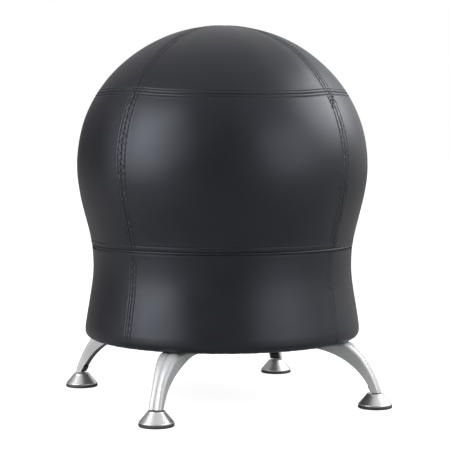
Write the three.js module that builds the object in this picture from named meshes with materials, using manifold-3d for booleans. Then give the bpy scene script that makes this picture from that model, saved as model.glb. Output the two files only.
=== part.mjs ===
// Balance ball chair: an inflated ball in a sewn cover, held by a padded round base on four arched legs.
// Millimetres, +Z up, origin on the floor under the middle of the ball, front legs towards -Y.
import * as THREE from 'three';
import Module from 'manifold-3d';
import { mergeVertices } from 'three/addons/utils/BufferGeometryUtils.js';

const wasm = await Module();
wasm.setup();

// Fits between pieces
const touchGap = 0.3;
const stitchGap = 0.3;
const paddingClearance = 0.9;
const linerClearance = 1.2;
const cutOverrun = 2;

// Ball and cover
const ballRadius = 224.8;
const ballHalfHeight = 213.9;
const ballWall = 2;
const coverThickness = 1.5;
const crownSeamLift = 111.1;
const crownHole = 3;
const flankDrop = 36;
const flankLean = 0.15;
const frontGoreDegrees = 93.7;
const skirtFrontDegrees = 92.4;
const coverTurnDegrees = -16.55;
const skirtTurnDegrees = -17.2;
const frontSeamSag = 7;
const flankSeamSag = 1;

// Ball's valve hole and plug
const valveHoleRadius = 4;
const plugHeadRadius = 9;
const plugHeadThickness = 2;
const plugDepth = 7;
const plugBevel = 0.8;

// Skirt, from the waist seam down to the hem that is turned under the base
const waistTuck = 23.1;
const waistLean = 0.13;
const narrowTuck = 1.6;
const narrowDrop = 29;
const hemFlare = 11.4;
const flareTuck = 0.6;
const flareRise = 21.7;
const flareLean = 0.15;
const hemCornerRadius = 12;
const hemFold = 22;
const skirtRise = 122.9;

// Base board, padding and dust cover
const boardThickness = 18;
const boardEdgePadding = 3.8;
const ballBedDepth = 35.4;
const cradleStartDegrees = 18;
const cradleRimDrop = 25;
const dustCoverThickness = 1;
const dustCoverClearance = 0.8;

// Waist welt and zip
const weltRadius = 1.5;
const weltStandOut = 0.15;
const slitHeight = 2.3;
const zipTeethHeight = 2.8;
const zipTeethThickness = 1.2;
const zipTapeThickness = 0.6;
const zipTapeWidth = 4;
const zipSeamWidth = 8;
const sliderPlate = 1;
const sliderLength = 10;
const sliderRunningGap = 0.35;
const zipPocketClearance = 0.6;
const sliderNeckHeight = 1.2;
const sliderLoopSize = 3.6;
const sliderLoopHoleRadius = 1.2;
const sliderLoopWidth = 2.6;
const sliderLoopStandOff = 1.6;
const pullBar = 1.2;
const pullWidth = 6.4;
const pullLength = 16;
const pullWindowHeight = 4.6;

// Legs
const legHeight = 98.3;
const legWall = 2.6;
const legEdgeRadius = 2.6;
const legGrooveWidth = 4;
const legGrooveDepth = 1.1;
const legPlateLength = 86;
const legShoulderInset = 2;
const legShoulderHandle = 29;
const legAnkleHandleIn = 9.2;
const legAnkleHandleUp = 29.8;
const legPlateDepth = 9.5;
const legArchSetback = 53;
const legArchHandle = 46.6;
const legInstepHandleIn = 21.3;
const legInstepHandleUp = 42;
const legToeDepth = 10.7;
const legToeOut = 7.9;
const legShoulderWidth = 35;
const legToeWidth = 20;
const legTaperStartShare = 0.42;
const legTaperEndShare = 0.88;
const legDegrees = { front_left: -45, front_right: 45, rear_right: 135, rear_left: -135 };

// Bolts and threaded inserts
const boltRadius = 4;
const boltHeadRadius = 7.5;
const boltHeadHeight = 5.3;
const boltFlangeRadius = 9;
const boltFlangeThickness = 1.4;
const boltEndDepth = 2;
const boltEndMargin = 14;
const boltSpacing = 26;
const boltHoleClearance = 0.5;
const insertWall = 2.2;

// Feet
const footOutset = 50.6;
const padRadius = 26;
const padThickness = 3.9;
const padEdge = 0.9;
const coneHeight = 22;
const coneTopRadius = 13;
const coneTopEdge = 2;
const coneWall = 1.8;
const coneRimInset = 0.7;
const coneRimHeight = 1.5;
const studBallRadius = 5;
const studRadius = 2.6;
const studEngagement = 5.5;
const studEndBevel = 0.6;
const socketFloor = 6.2;
const socketBossRadius = 8.6;
const socketLip = 3.4;
const tiltClearance = 2;
const tiltHoleClearance = 1.6;
const footInsertHeight = 12;
const footInsertLug = 2.5;

// Numbers of flats and rows on the round shapes
const roundFlats = 30;
const ringFlats = 72;
const weltFlats = 60;
const cordFlats = 6;
const footFlats = 18;
const boltFlats = 10;
const boltHeadFlats = 6;
const goreColumns = 10;
const sideRows = 10;
const crownRows = 7;
const skirtRows = 6;
const ballStepDegrees = 9;
const innerBallStepDegrees = 18;
const cornerSteps = 3;
const legPlateStations = 2;
const legBendStations = 14;
const footInsertStations = 3;
const sphereSteps = 5;

// Heights and radii worked out from the sizes above
const hemHeight = legHeight;
const boardBottom = hemHeight + coverThickness + touchGap;
const boardTop = boardBottom + boardThickness;
const ballBottom = boardTop + ballBedDepth;
const ballCentre = ballBottom + ballHalfHeight;
const coverRadiusMax = ballRadius + linerClearance + coverThickness;
const coverHalfHeight = ballHalfHeight + linerClearance + coverThickness;
const waistHeight = boardTop + skirtRise;
const waistRadius = coverRadiusMax - waistTuck;
const narrowRadius = waistRadius - narrowTuck;
const hemRadius = waistRadius + hemFlare;
const boardRadius = hemRadius - hemCornerRadius - boardEdgePadding;
const footCircleRadius = boardRadius + footOutset;
const hemInnerRadius = hemRadius - hemCornerRadius - hemFold;
const legTop = hemHeight - touchGap;
const ankleHeight = coneHeight + tiltClearance;
const studBallHeight = socketFloor + touchGap + studBallRadius;
const plateReach = boardRadius - legShoulderInset - legPlateLength;
const boltReaches = [plateReach + boltEndMargin, plateReach + boltEndMargin + boltSpacing];

const finishes = {
  vinyl: { color: 0x26272a, roughness: 0.42, metalness: 0 },
  vinylEdge: { color: 0x303134, roughness: 0.38, metalness: 0 },
  ballRubber: { color: 0x3c4046, roughness: 0.5, metalness: 0 },
  plug: { color: 0xd8d8d4, roughness: 0.5, metalness: 0 },
  foam: { color: 0xb9b4a4, roughness: 0.95, metalness: 0 },
  plywood: { color: 0xb48a5a, roughness: 0.75, metalness: 0 },
  dustCloth: { color: 0x1a1a1b, roughness: 0.95, metalness: 0 },
  silverPaint: { color: 0xb9bbbd, roughness: 0.42, metalness: 0.7 },
  brightMetal: { color: 0xc9cacc, roughness: 0.28, metalness: 0.9 },
  zincSteel: { color: 0x9da0a3, roughness: 0.4, metalness: 0.9 },
  blackPlastic: { color: 0x141415, roughness: 0.55, metalness: 0 },
  darkPad: { color: 0x2b2b2d, roughness: 0.7, metalness: 0 },
  zipTeeth: { color: 0x1d1d1f, roughness: 0.5, metalness: 0 },
};

const chair = new THREE.Group();

function addPiece(name, geometry, finish) {
  const mesh = new THREE.Mesh(geometry, new THREE.MeshStandardMaterial(finishes[finish]));
  mesh.name = name;
  chair.add(mesh);
  return mesh;
}

function toRadians(degrees) {
  return THREE.MathUtils.degToRad(degrees);
}

// A point at a radius and height, turned from -Y towards +X
function polar(radius, angle, height) {
  return new THREE.Vector3(radius * Math.sin(angle), -radius * Math.cos(angle), height);
}

function signedVolume(geometry) {
  const place = geometry.getAttribute('position');
  const index = geometry.index;
  const corners = [new THREE.Vector3(), new THREE.Vector3(), new THREE.Vector3()];
  let volume = 0;
  for (let i = 0; i < index.count; i += 3) {
    corners.forEach((corner, k) => corner.fromBufferAttribute(place, index.getX(i + k)));
    volume += corners[0].dot(corners[1].clone().cross(corners[2]));
  }
  return volume;
}

// Merges shared vertices and turns the faces outwards
function closed(geometry) {
  geometry.deleteAttribute('normal');
  geometry.deleteAttribute('uv');
  const merged = mergeVertices(geometry);
  if (signedVolume(merged) < 0) {
    const order = merged.index;
    for (let i = 0; i < order.count; i += 3) {
      const swapped = order.getX(i + 1);
      order.setX(i + 1, order.getX(i + 2));
      order.setX(i + 2, swapped);
    }
  }
  merged.computeVertexNormals();
  return merged;
}

function fromLists(points, triangles) {
  const geometry = new THREE.BufferGeometry();
  geometry.setFromPoints(points);
  geometry.setIndex(triangles);
  return closed(geometry);
}

// A closed outline of [radius, height] pairs turned about Z
function revolve(outline, flats) {
  const points = outline.map(([radius, height]) => new THREE.Vector2(radius, height));
  const geometry = new THREE.LatheGeometry(points, flats);
  geometry.rotateX(Math.PI / 2);
  return closed(geometry);
}

function ringOutline(outline) {
  return [...outline, outline[0]];
}

// A wall between an outer and an inner sheet of points
function sheetShell(columns, rows, outerAt, innerAt) {
  const points = [];
  const triangles = [];
  const across = columns + 1;
  const sheet = across * (rows + 1);
  for (const sheetAt of [outerAt, innerAt]) {
    for (let row = 0; row <= rows; row += 1) {
      for (let column = 0; column <= columns; column += 1) {
        points.push(sheetAt(column / columns, row / rows));
      }
    }
  }
  const quad = (a, b, c, d) => triangles.push(a, b, c, a, c, d);
  for (let row = 0; row < rows; row += 1) {
    for (let column = 0; column < columns; column += 1) {
      const a = row * across + column;
      quad(a, a + 1, a + across + 1, a + across);
      quad(sheet + a, sheet + a + across, sheet + a + across + 1, sheet + a + 1);
    }
  }
  for (let column = 0; column < columns; column += 1) {
    const low = column;
    const high = rows * across + column;
    quad(low, low + sheet, low + sheet + 1, low + 1);
    quad(high, high + 1, high + 1 + sheet, high + sheet);
  }
  for (let row = 0; row < rows; row += 1) {
    const left = row * across;
    const right = left + columns;
    quad(left, left + across, left + across + sheet, left + sheet);
    quad(right, right + sheet, right + across + sheet, right + across);
  }
  return fromLists(points, triangles);
}

// A solid through a row of closed sections that all have as many points
function loft(sections) {
  const count = sections[0].length;
  const points = sections.flat();
  const triangles = [];
  for (let station = 0; station < sections.length - 1; station += 1) {
    for (let i = 0; i < count; i += 1) {
      const a = station * count + i;
      const b = station * count + (i + 1) % count;
      triangles.push(a, b, b + count, a, b + count, a + count);
    }
  }
  const cap = (first, flip) => {
    const section = points.slice(first, first + count);
    const side = section[1].clone().sub(section[0]).normalize();
    const normal = new THREE.Vector3();
    section.forEach((corner, i) => normal.add(corner.clone().cross(section[(i + 1) % count])));
    const rise = normal.normalize().clone().cross(side);
    const flat = section.map((corner) => new THREE.Vector2(corner.dot(side), corner.dot(rise)));
    for (const [a, b, c] of THREE.ShapeUtils.triangulateShape(flat, [])) {
      triangles.push(first + a, first + (flip ? c : b), first + (flip ? b : c));
    }
  };
  cap(0, true);
  cap((sections.length - 1) * count, false);
  return fromLists(points, triangles);
}

function toManifold(geometry) {
  return new wasm.Manifold(new wasm.Mesh({
    numProp: 3,
    vertProperties: new Float32Array(geometry.getAttribute('position').array),
    triVerts: new Uint32Array(geometry.index.array),
  }));
}

function cutAway(geometry, cutters) {
  let solid = toManifold(geometry);
  for (const cutter of cutters) {
    solid = solid.subtract(toManifold(cutter));
  }
  return fromManifold(solid);
}

function join(geometries) {
  let solid = toManifold(geometries[0]);
  for (const geometry of geometries.slice(1)) {
    solid = solid.add(toManifold(geometry));
  }
  return fromManifold(solid);
}

function fromManifold(solid) {
  const mesh = solid.getMesh();
  const geometry = new THREE.BufferGeometry();
  const places = new Float32Array(mesh.vertProperties);
  geometry.setAttribute('position', new THREE.BufferAttribute(places, 3));
  geometry.setIndex(Array.from(mesh.triVerts));
  geometry.computeVertexNormals();
  return geometry;
}

function uprightCylinder(radius, bottom, top, reach, flats) {
  const outline = [[0, bottom], [radius, bottom], [radius, top], [0, top]];
  return revolve(outline, flats).translate(reach, 0, 0);
}

// Legs and feet are drawn along +X and turned to their place
function turnToFoot(geometry, degrees) {
  return geometry.rotateZ(toRadians(degrees) - Math.PI / 2);
}

// Outline of the cover: a spheroid over the ball, then a waist and a flared skirt
function ballWidth(height) {
  const share = (height - ballCentre) / coverHalfHeight;
  return coverRadiusMax * Math.sqrt(1 - share * share);
}

const outlineKnots = [
  { height: hemHeight + hemCornerRadius, radius: hemRadius, lean: 0 },
  { height: hemHeight + flareRise, radius: hemRadius - flareTuck, lean: -flareLean },
  { height: waistHeight - narrowDrop, radius: narrowRadius, lean: 0 },
  { height: waistHeight, radius: waistRadius, lean: waistLean },
  { height: ballCentre - flankDrop, radius: ballWidth(ballCentre - flankDrop), lean: flankLean },
];

function coverWidth(height) {
  const top = outlineKnots.findIndex((knot) => knot.height >= height);
  if (top < 0) {
    return ballWidth(height);
  }
  const upper = outlineKnots[Math.max(top, 1)];
  const lower = outlineKnots[Math.max(top, 1) - 1];
  const span = upper.height - lower.height;
  const t = (height - lower.height) / span;
  const blend = t * t * (3 - 2 * t);
  const bend = t * (1 - t) * span;
  return lower.radius + (upper.radius - lower.radius) * blend
    + bend * ((1 - t) * lower.lean - t * upper.lean);
}

// Steps inward from the cover's outline at a height
function underCover(height, depth) {
  const probe = coverThickness;
  const lean = (coverWidth(height + probe) - coverWidth(height - probe)) / (2 * probe);
  const length = Math.hypot(1, lean);
  return [coverWidth(height) - depth / length, height + depth * lean / length];
}

const panelSides = ['front', 'right', 'rear', 'left'];
const seamSags = { front: frontSeamSag, right: flankSeamSag, rear: frontSeamSag, left: flankSeamSag };
const quarterTurnDegrees = 90;
const halfTurnDegrees = 180;

// The two seams at the sides of one of the four panels
function panelSeams(turnDegrees, frontDegrees, side) {
  const turns = panelSides.indexOf(side);
  const width = turns % 2 === 0 ? frontDegrees : halfTurnDegrees - frontDegrees;
  const middle = turnDegrees + turns * quarterTurnDegrees;
  return [toRadians(middle - width / 2), toRadians(middle + width / 2)];
}

// A point of a panel between its seams, which keep half a stitch gap each
function betweenSeams(seams, share, radius, height) {
  const margin = Math.asin(stitchGap / 2 / radius);
  const angle = THREE.MathUtils.lerp(seams[0] + margin, seams[1] - margin, share);
  return polar(radius, angle, height);
}

function seamHeight(side, share) {
  const arch = 4 * share * (1 - share);
  return ballCentre + crownSeamLift - seamSags[side] * arch;
}

const sideBottom = waistHeight + weltRadius * 2 + touchGap * 2;

// Panel that wraps the ball between the waist and the crown seam
function sidePanel(side) {
  const seams = panelSeams(coverTurnDegrees, frontGoreDegrees, side);
  const sheetAt = (depth) => (share, rise) => {
    const top = seamHeight(side, share) - stitchGap / 2;
    const height = THREE.MathUtils.lerp(sideBottom, top, rise);
    const [radius, level] = underCover(height, depth);
    return betweenSeams(seams, share, radius, level);
  };
  return sheetShell(goreColumns, sideRows, sheetAt(0), sheetAt(coverThickness));
}

// Panel of the crown, from the crown seam to the middle of the seat
function crownPanel(side) {
  const seams = panelSeams(coverTurnDegrees, frontGoreDegrees, side);
  const last = Math.acos(crownHole / coverRadiusMax);
  const sheetAt = (depth) => (share, rise) => {
    const edge = seamHeight(side, share) + stitchGap / 2;
    const first = Math.asin((edge - ballCentre) / coverHalfHeight);
    const slope = THREE.MathUtils.lerp(first, last, rise);
    const wide = coverRadiusMax * Math.cos(slope);
    const tall = coverHalfHeight * Math.sin(slope);
    const out = new THREE.Vector2(wide / coverRadiusMax ** 2, tall / coverHalfHeight ** 2).normalize();
    const radius = wide - depth * out.x;
    return betweenSeams(seams, share, radius, ballCentre + tall - depth * out.y);
  };
  return sheetShell(goreColumns, crownRows, sheetAt(0), sheetAt(coverThickness));
}

const skirtTop = waistHeight - slitHeight;

// The skirt's section at a depth under its face, from the hem's inner end to the waist slit
function skirtSection(depth) {
  const section = [[hemInnerRadius, hemHeight + depth]];
  const cornerCentre = [hemRadius - hemCornerRadius, hemHeight + hemCornerRadius];
  const reach = hemCornerRadius - depth;
  for (let step = 0; step < cornerSteps; step += 1) {
    const angle = (step / cornerSteps - 1) * Math.PI / 2;
    section.push([cornerCentre[0] + reach * Math.cos(angle), cornerCentre[1] + reach * Math.sin(angle)]);
  }
  const wallBottom = hemHeight + hemCornerRadius;
  for (let row = 0; row <= skirtRows; row += 1) {
    const height = THREE.MathUtils.lerp(wallBottom, skirtTop, row / skirtRows);
    const [radius, level] = underCover(height, depth);
    const rowHeight = row < skirtRows ? level : skirtTop;
    section.push(row === 0 ? [hemRadius - depth, wallBottom] : [radius, rowHeight]);
  }
  return section;
}

function skirtPanel(side) {
  const seams = panelSeams(skirtTurnDegrees, skirtFrontDegrees, side);
  const rows = skirtSection(0).length - 1;
  const sheetAt = (depth) => {
    const section = skirtSection(depth);
    return (share, rise) => {
      const [radius, height] = section[Math.round(rise * rows)];
      return betweenSeams(seams, share, radius, height);
    };
  };
  return sheetShell(goreColumns, rows, sheetAt(0), sheetAt(coverThickness));
}

for (const side of panelSides) {
  addPiece(`crown_panel_${side}`, crownPanel(side), 'vinyl');
}
for (const side of panelSides) {
  addPiece(`side_panel_${side}`, sidePanel(side), 'vinyl');
}
for (const side of panelSides) {
  addPiece(`skirt_panel_${side}`, skirtPanel(side), 'vinyl');
}

// Ball: a closed skin with its valve hole at the bottom
function ballArc(radius, halfHeight, from, to, stepDegrees) {
  const steps = Math.round((to - from) / stepDegrees);
  return Array.from({ length: steps + 1 }, (_, step) => {
    const angle = toRadians(THREE.MathUtils.lerp(from, to, step / steps));
    return [radius * Math.sin(angle), ballCentre - halfHeight * Math.cos(angle)];
  });
}

function ball() {
  const outer = ballArc(
    ballRadius, ballHalfHeight, ballStepDegrees, halfTurnDegrees, ballStepDegrees,
  );
  const inner = ballArc(
    ballRadius - ballWall, ballHalfHeight - ballWall,
    innerBallStepDegrees, halfTurnDegrees, innerBallStepDegrees,
  );
  outer[outer.length - 1][0] = 0;
  inner[inner.length - 1][0] = 0;
  const mouth = [
    [valveHoleRadius, ballBottom + ballWall],
    [valveHoleRadius, ballBottom],
  ];
  return revolve([...inner.reverse(), ...mouth, ...outer], roundFlats);
}
addPiece('exercise_ball', ball(), 'ballRubber');

function valvePlug() {
  const top = ballBottom - touchGap;
  const stem = valveHoleRadius - touchGap;
  const tip = top + plugDepth;
  return revolve([
    [0, top - plugHeadThickness],
    [plugHeadRadius - plugBevel, top - plugHeadThickness],
    [plugHeadRadius, top - plugHeadThickness + plugBevel],
    [plugHeadRadius, top],
    [stem, top],
    [stem, tip - plugBevel],
    [stem - plugBevel, tip],
    [0, tip],
  ], footFlats);
}
addPiece('valve_plug', valvePlug(), 'plug');

// Foam cradle: a ring on the board, dished for the ball and rounded over the board's edge
function foamCradle() {
  const cupHalfHeight = ballHalfHeight + touchGap;
  const rimHeight = waistHeight - cradleRimDrop;
  const rimDegrees = THREE.MathUtils.radToDeg(Math.acos((ballCentre - rimHeight) / cupHalfHeight));
  const cup = ballArc(
    ballRadius + touchGap, cupHalfHeight, cradleStartDegrees, rimDegrees, ballStepDegrees,
  );
  const depth = coverThickness + paddingClearance;
  const reach = hemCornerRadius - depth;
  const outline = [
    [cup[0][0], boardTop + touchGap],
    [boardRadius + touchGap, boardTop + touchGap],
    [boardRadius + touchGap, hemHeight + depth],
  ];
  for (let step = 0; step < cornerSteps; step += 1) {
    const angle = (step / cornerSteps - 1) * Math.PI / 2;
    const centreHeight = hemHeight + hemCornerRadius;
    const centreReach = hemRadius - hemCornerRadius;
    outline.push([centreReach + reach * Math.cos(angle), centreHeight + reach * Math.sin(angle)]);
  }
  const wallBottom = hemHeight + hemCornerRadius;
  for (let row = 0; row <= skirtRows; row += 1) {
    const height = THREE.MathUtils.lerp(wallBottom, rimHeight, row / skirtRows);
    outline.push([underCover(height, depth)[0], height]);
  }
  return revolve(ringOutline([...outline, ...cup.reverse()]), roundFlats);
}
addPiece('foam_cradle', foamCradle(), 'foam');

// Board and dust cover: flat discs with the bolts' holes
function discShape(radius, holes) {
  const circle = (size, flats, x, y) => Array.from({ length: flats }, (_, i) => {
    const angle = i * 2 * Math.PI / flats;
    return new THREE.Vector2(x + size * Math.sin(angle), y - size * Math.cos(angle));
  });
  const shape = new THREE.Shape(circle(radius, roundFlats, 0, 0));
  for (const hole of holes) {
    shape.holes.push(new THREE.Path(circle(hole.radius, hole.flats, hole.x, hole.y).reverse()));
  }
  return shape;
}

function boltHoles(radius) {
  return Object.values(legDegrees).flatMap((degrees) => boltReaches.map((reach) => {
    const place = polar(reach, toRadians(degrees), 0);
    return { radius, flats: boltFlats, x: place.x, y: place.y };
  }));
}

function disc(radius, holes, bottom, thickness) {
  const settings = { depth: thickness, bevelEnabled: false };
  const geometry = new THREE.ExtrudeGeometry(discShape(radius, holes), settings);
  return closed(geometry.translate(0, 0, bottom));
}

const insertRadius = boltRadius + touchGap + insertWall;
const boardHoles = boltHoles(insertRadius + touchGap);
addPiece('base_board', disc(boardRadius, boardHoles, boardBottom, boardThickness), 'plywood');

const dustCoverRadius = hemInnerRadius - dustCoverClearance;
const dustCoverBottom = boardBottom - touchGap - dustCoverThickness;
const dustHoles = boltHoles(boltRadius + boltHoleClearance);
const dustCover = disc(dustCoverRadius, dustHoles, dustCoverBottom, dustCoverThickness);
addPiece('dust_cover', dustCover, 'dustCloth');

// Welt: a cord-filled roll of vinyl round the waist
function waistWelt() {
  const centre = [waistRadius + weltStandOut - weltRadius, waistHeight + touchGap + weltRadius];
  const section = Array.from({ length: cordFlats }, (_, i) => {
    const angle = (i + 1 / 2) * 2 * Math.PI / cordFlats;
    return [centre[0] + weltRadius * Math.cos(angle), centre[1] + weltRadius * Math.sin(angle)];
  });
  return revolve(ringOutline(section), weltFlats);
}
addPiece('waist_welt', waistWelt(), 'vinylEdge');

// Zip behind the waist slit: teeth with their lower tape, and a slider that runs round them
const slitHeightMiddle = waistHeight - slitHeight / 2 + touchGap / 2;
const zipPocketRadius = waistRadius + weltStandOut - 2 * weltRadius - zipPocketClearance;
const teethOuter = zipPocketRadius - sliderPlate - sliderRunningGap;
const teethInner = teethOuter - zipTeethThickness;

function zipChain() {
  const low = slitHeightMiddle - zipTeethHeight / 2;
  const high = slitHeightMiddle + zipTeethHeight / 2;
  const tapeInner = teethOuter - zipTapeThickness;
  const seamTop = low - zipTapeWidth;
  const seamBottom = seamTop - zipSeamWidth;
  const seamOuter = underCover(seamBottom, coverThickness)[0] - paddingClearance;
  return revolve(ringOutline([
    [tapeInner, seamBottom],
    [seamOuter, seamBottom],
    [seamOuter, seamTop],
    [teethOuter, seamTop],
    [teethOuter, high],
    [teethInner, high],
    [teethInner, low],
    [tapeInner, low],
  ]), ringFlats);
}
addPiece('zip_chain', zipChain(), 'zipTeeth');

const sliderAngle = toRadians(coverTurnDegrees + halfTurnDegrees);
const loopInner = waistRadius + sliderLoopStandOff;
const loopOuter = loopInner + sliderLoopSize;
const pullAxisRadius = (loopInner + loopOuter) / 2;

function block(low, high) {
  const size = new THREE.Vector3().subVectors(high, low);
  const middle = new THREE.Vector3().addVectors(high, low).multiplyScalar(0.5);
  return closed(new THREE.BoxGeometry(size.x, size.y, size.z).translate(middle.x, middle.y, middle.z));
}

function alongCylinder(radius, from, to, x, z) {
  const geometry = new THREE.CylinderGeometry(radius, radius, to - from, boltFlats);
  return closed(geometry.translate(x, (from + to) / 2, z));
}

// The slider is drawn on +X, with its run along Y, and turned to the rear of the cover
function zipSlider() {
  const high = slitHeightMiddle + zipTeethHeight / 2 + sliderRunningGap;
  const low = slitHeightMiddle - zipTeethHeight / 2 - sliderRunningGap;
  const half = sliderLength / 2;
  const bow = teethOuter - Math.sqrt(teethOuter ** 2 - half ** 2);
  const outerFace = teethOuter + sliderRunningGap + sliderPlate;
  const innerFace = teethInner - bow - sliderRunningGap - sliderPlate;
  const body = block(
    new THREE.Vector3(innerFace, -half, low),
    new THREE.Vector3(outerFace, half, high + sliderPlate),
  );
  const slot = block(
    new THREE.Vector3(innerFace + sliderPlate, -half - cutOverrun, low - cutOverrun),
    new THREE.Vector3(outerFace - sliderPlate, half + cutOverrun, high),
  );
  const neckHalf = sliderLoopWidth / 2;
  const neck = block(
    new THREE.Vector3(outerFace - sliderPlate, -neckHalf, slitHeightMiddle - sliderNeckHeight / 2),
    new THREE.Vector3(loopInner + sliderPlate / 2, neckHalf, slitHeightMiddle + sliderNeckHeight / 2),
  );
  const loopLow = slitHeightMiddle - sliderLoopSize / 2;
  const loop = block(
    new THREE.Vector3(loopInner, -neckHalf, loopLow),
    new THREE.Vector3(loopOuter, neckHalf, loopLow + sliderLoopSize),
  );
  const eye = alongCylinder(
    sliderLoopHoleRadius, -neckHalf - cutOverrun, neckHalf + cutOverrun, pullAxisRadius, slitHeightMiddle,
  );
  return cutAway(join([cutAway(body, [slot]), neck, loop]), [eye]);
}

function zipPull() {
  const half = pullWidth / 2;
  const top = slitHeightMiddle + pullBar / 2;
  const bottom = top - pullLength;
  const windowHalf = sliderLoopWidth / 2 + touchGap;
  const face = new THREE.Shape([
    new THREE.Vector2(-half, top),
    new THREE.Vector2(-half, bottom + half),
    new THREE.Vector2(-half / 2, bottom),
    new THREE.Vector2(half / 2, bottom),
    new THREE.Vector2(half, bottom + half),
    new THREE.Vector2(half, top),
  ]);
  face.holes.push(new THREE.Path([
    new THREE.Vector2(-windowHalf, top - pullBar),
    new THREE.Vector2(windowHalf, top - pullBar),
    new THREE.Vector2(windowHalf, top - pullBar - pullWindowHeight),
    new THREE.Vector2(-windowHalf, top - pullBar - pullWindowHeight),
  ]));
  const geometry = new THREE.ExtrudeGeometry(face, { depth: pullBar, bevelEnabled: false });
  geometry.rotateX(Math.PI / 2).rotateZ(Math.PI / 2);
  return closed(geometry.translate(pullAxisRadius - pullBar / 2, 0, 0));
}

function turnToRear(geometry) {
  return geometry.rotateZ(sliderAngle - Math.PI / 2);
}
addPiece('zip_slider', turnToRear(zipSlider()), 'zincSteel');
addPiece('zip_pull', turnToRear(zipPull()), 'zincSteel');

// Leg: an arched channel with a groove down its back, open underneath, from its plate under the
// board to its toe over the foot
const shoulderReach = boardRadius - legShoulderInset;
const toeOuter = footCircleRadius + legToeOut;
const toeInner = toeOuter - legToeDepth;

function legEdge(plateHeight, bendReach, handle, toe, handleIn, handleUp) {
  const path = new THREE.CurvePath();
  const bend = new THREE.Vector2(bendReach, plateHeight);
  path.add(new THREE.LineCurve(new THREE.Vector2(plateReach, plateHeight), bend));
  path.add(new THREE.CubicBezierCurve(
    bend,
    new THREE.Vector2(bendReach + handle, plateHeight),
    new THREE.Vector2(toe - handleIn, ankleHeight + handleUp),
    new THREE.Vector2(toe, ankleHeight),
  ));
  return path;
}

const legBack = legEdge(
  legTop, shoulderReach, legShoulderHandle, toeOuter, legAnkleHandleIn, legAnkleHandleUp,
);
const legBelly = legEdge(
  legTop - legPlateDepth, shoulderReach - legArchSetback, legArchHandle,
  toeInner, legInstepHandleIn, legInstepHandleUp,
);

function legHalfWidth(share) {
  const taper = THREE.MathUtils.smoothstep(share, legTaperStartShare, legTaperEndShare);
  return THREE.MathUtils.lerp(legShoulderWidth, legToeWidth, taper) / 2;
}

// A cross-section's own axes: across the leg, and down from its back to its open side
function legFrame(share) {
  const back = legBack.getPointAt(share);
  const belly = legBelly.getPointAt(share);
  const down = belly.clone().sub(back);
  const depth = down.length();
  down.normalize();
  const at = (across, drop) => new THREE.Vector3(back.x + down.x * drop, across, back.y + down.y * drop);
  return { at, depth };
}

function legSection(share) {
  const { at, depth } = legFrame(share);
  const half = legHalfWidth(share);
  const section = [at(half, depth)];
  for (let step = 0; step <= cornerSteps; step += 1) {
    const angle = step / cornerSteps * Math.PI / 2;
    const inset = legEdgeRadius * (1 - Math.cos(angle));
    section.push(at(half - inset, legEdgeRadius * (1 - Math.sin(angle))));
  }
  section.push(at(legGrooveWidth / 2, 0));
  const mirror = (corner) => new THREE.Vector3(corner.x, -corner.y, corner.z);
  const mirrored = section.slice().reverse().map(mirror);
  const inside = half - legWall;
  const channel = [
    at(-inside, depth), at(-inside, legWall), at(inside, legWall), at(inside, depth),
  ];
  return [...section, at(0, legGrooveDepth), ...mirrored, ...channel];
}

function leg() {
  const bendShare = legPlateLength / legBack.getLength();
  const stations = [];
  for (let i = 0; i < legPlateStations; i += 1) {
    stations.push(bendShare * i / legPlateStations);
  }
  for (let i = 0; i <= legBendStations; i += 1) {
    stations.push(THREE.MathUtils.lerp(bendShare, 1, i / legBendStations));
  }
  const holeBottom = legTop - legWall - cutOverrun;
  const holes = boltReaches.map((reach) => uprightCylinder(
    boltRadius + boltHoleClearance, holeBottom, legTop + cutOverrun, reach, boltFlats,
  ));
  return cutAway(loft(stations.map(legSection)), holes);
}

// Plug that closes the channel's toe and holds the foot's stud
function footInsert() {
  const length = legBack.getLength();
  const first = 1 - footInsertHeight / length;
  const sections = Array.from({ length: footInsertStations + 1 }, (_, i) => {
    const share = THREE.MathUtils.lerp(first, 1, i / footInsertStations);
    const { at, depth } = legFrame(share);
    const half = legHalfWidth(share) - legWall - touchGap;
    const near = legWall + touchGap;
    const far = depth + footInsertLug;
    return [at(half, far), at(half, near), at(-half, near), at(-half, far)];
  });
  const bore = uprightCylinder(
    studRadius + touchGap, ankleHeight - cutOverrun, ankleHeight + studEngagement + touchGap,
    footCircleRadius, boltFlats,
  );
  return cutAway(loft(sections), [bore]);
}

// Flanged hexagon bolt, from inside the leg's channel up into the board
function legBolt(reach) {
  const seat = legTop - legWall - touchGap;
  const flangeBottom = seat - boltFlangeThickness;
  const shank = boltRadius - touchGap / 2;
  const end = boardTop - boltEndDepth;
  const flanged = revolve([
    [0, flangeBottom],
    [boltFlangeRadius, flangeBottom],
    [boltFlangeRadius, seat],
    [shank, seat],
    [shank, end],
    [0, end],
  ], boltFlats).translate(reach, 0, 0);
  const headTop = flangeBottom + boltFlangeThickness / 2;
  const head = uprightCylinder(boltHeadRadius, seat - boltHeadHeight, headTop, reach, boltHeadFlats);
  return join([flanged, head]);
}

function threadedInsert() {
  const bore = boltRadius + touchGap;
  return revolve(ringOutline([
    [bore, boardBottom], [insertRadius, boardBottom], [insertRadius, boardTop], [bore, boardTop],
  ]), boltFlats);
}

function glideStud() {
  const end = ankleHeight + studEngagement;
  const outline = [[0, studBallHeight - studBallRadius]];
  const neck = Math.asin(studRadius / studBallRadius);
  for (let step = 1; step <= sphereSteps; step += 1) {
    const angle = THREE.MathUtils.lerp(0, Math.PI - neck, step / sphereSteps);
    const height = studBallHeight - studBallRadius * Math.cos(angle);
    outline.push([studBallRadius * Math.sin(angle), height]);
  }
  outline.push([studRadius, end - studEndBevel], [studRadius - studEndBevel, end], [0, end]);
  return revolve(outline, boltFlats);
}

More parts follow.
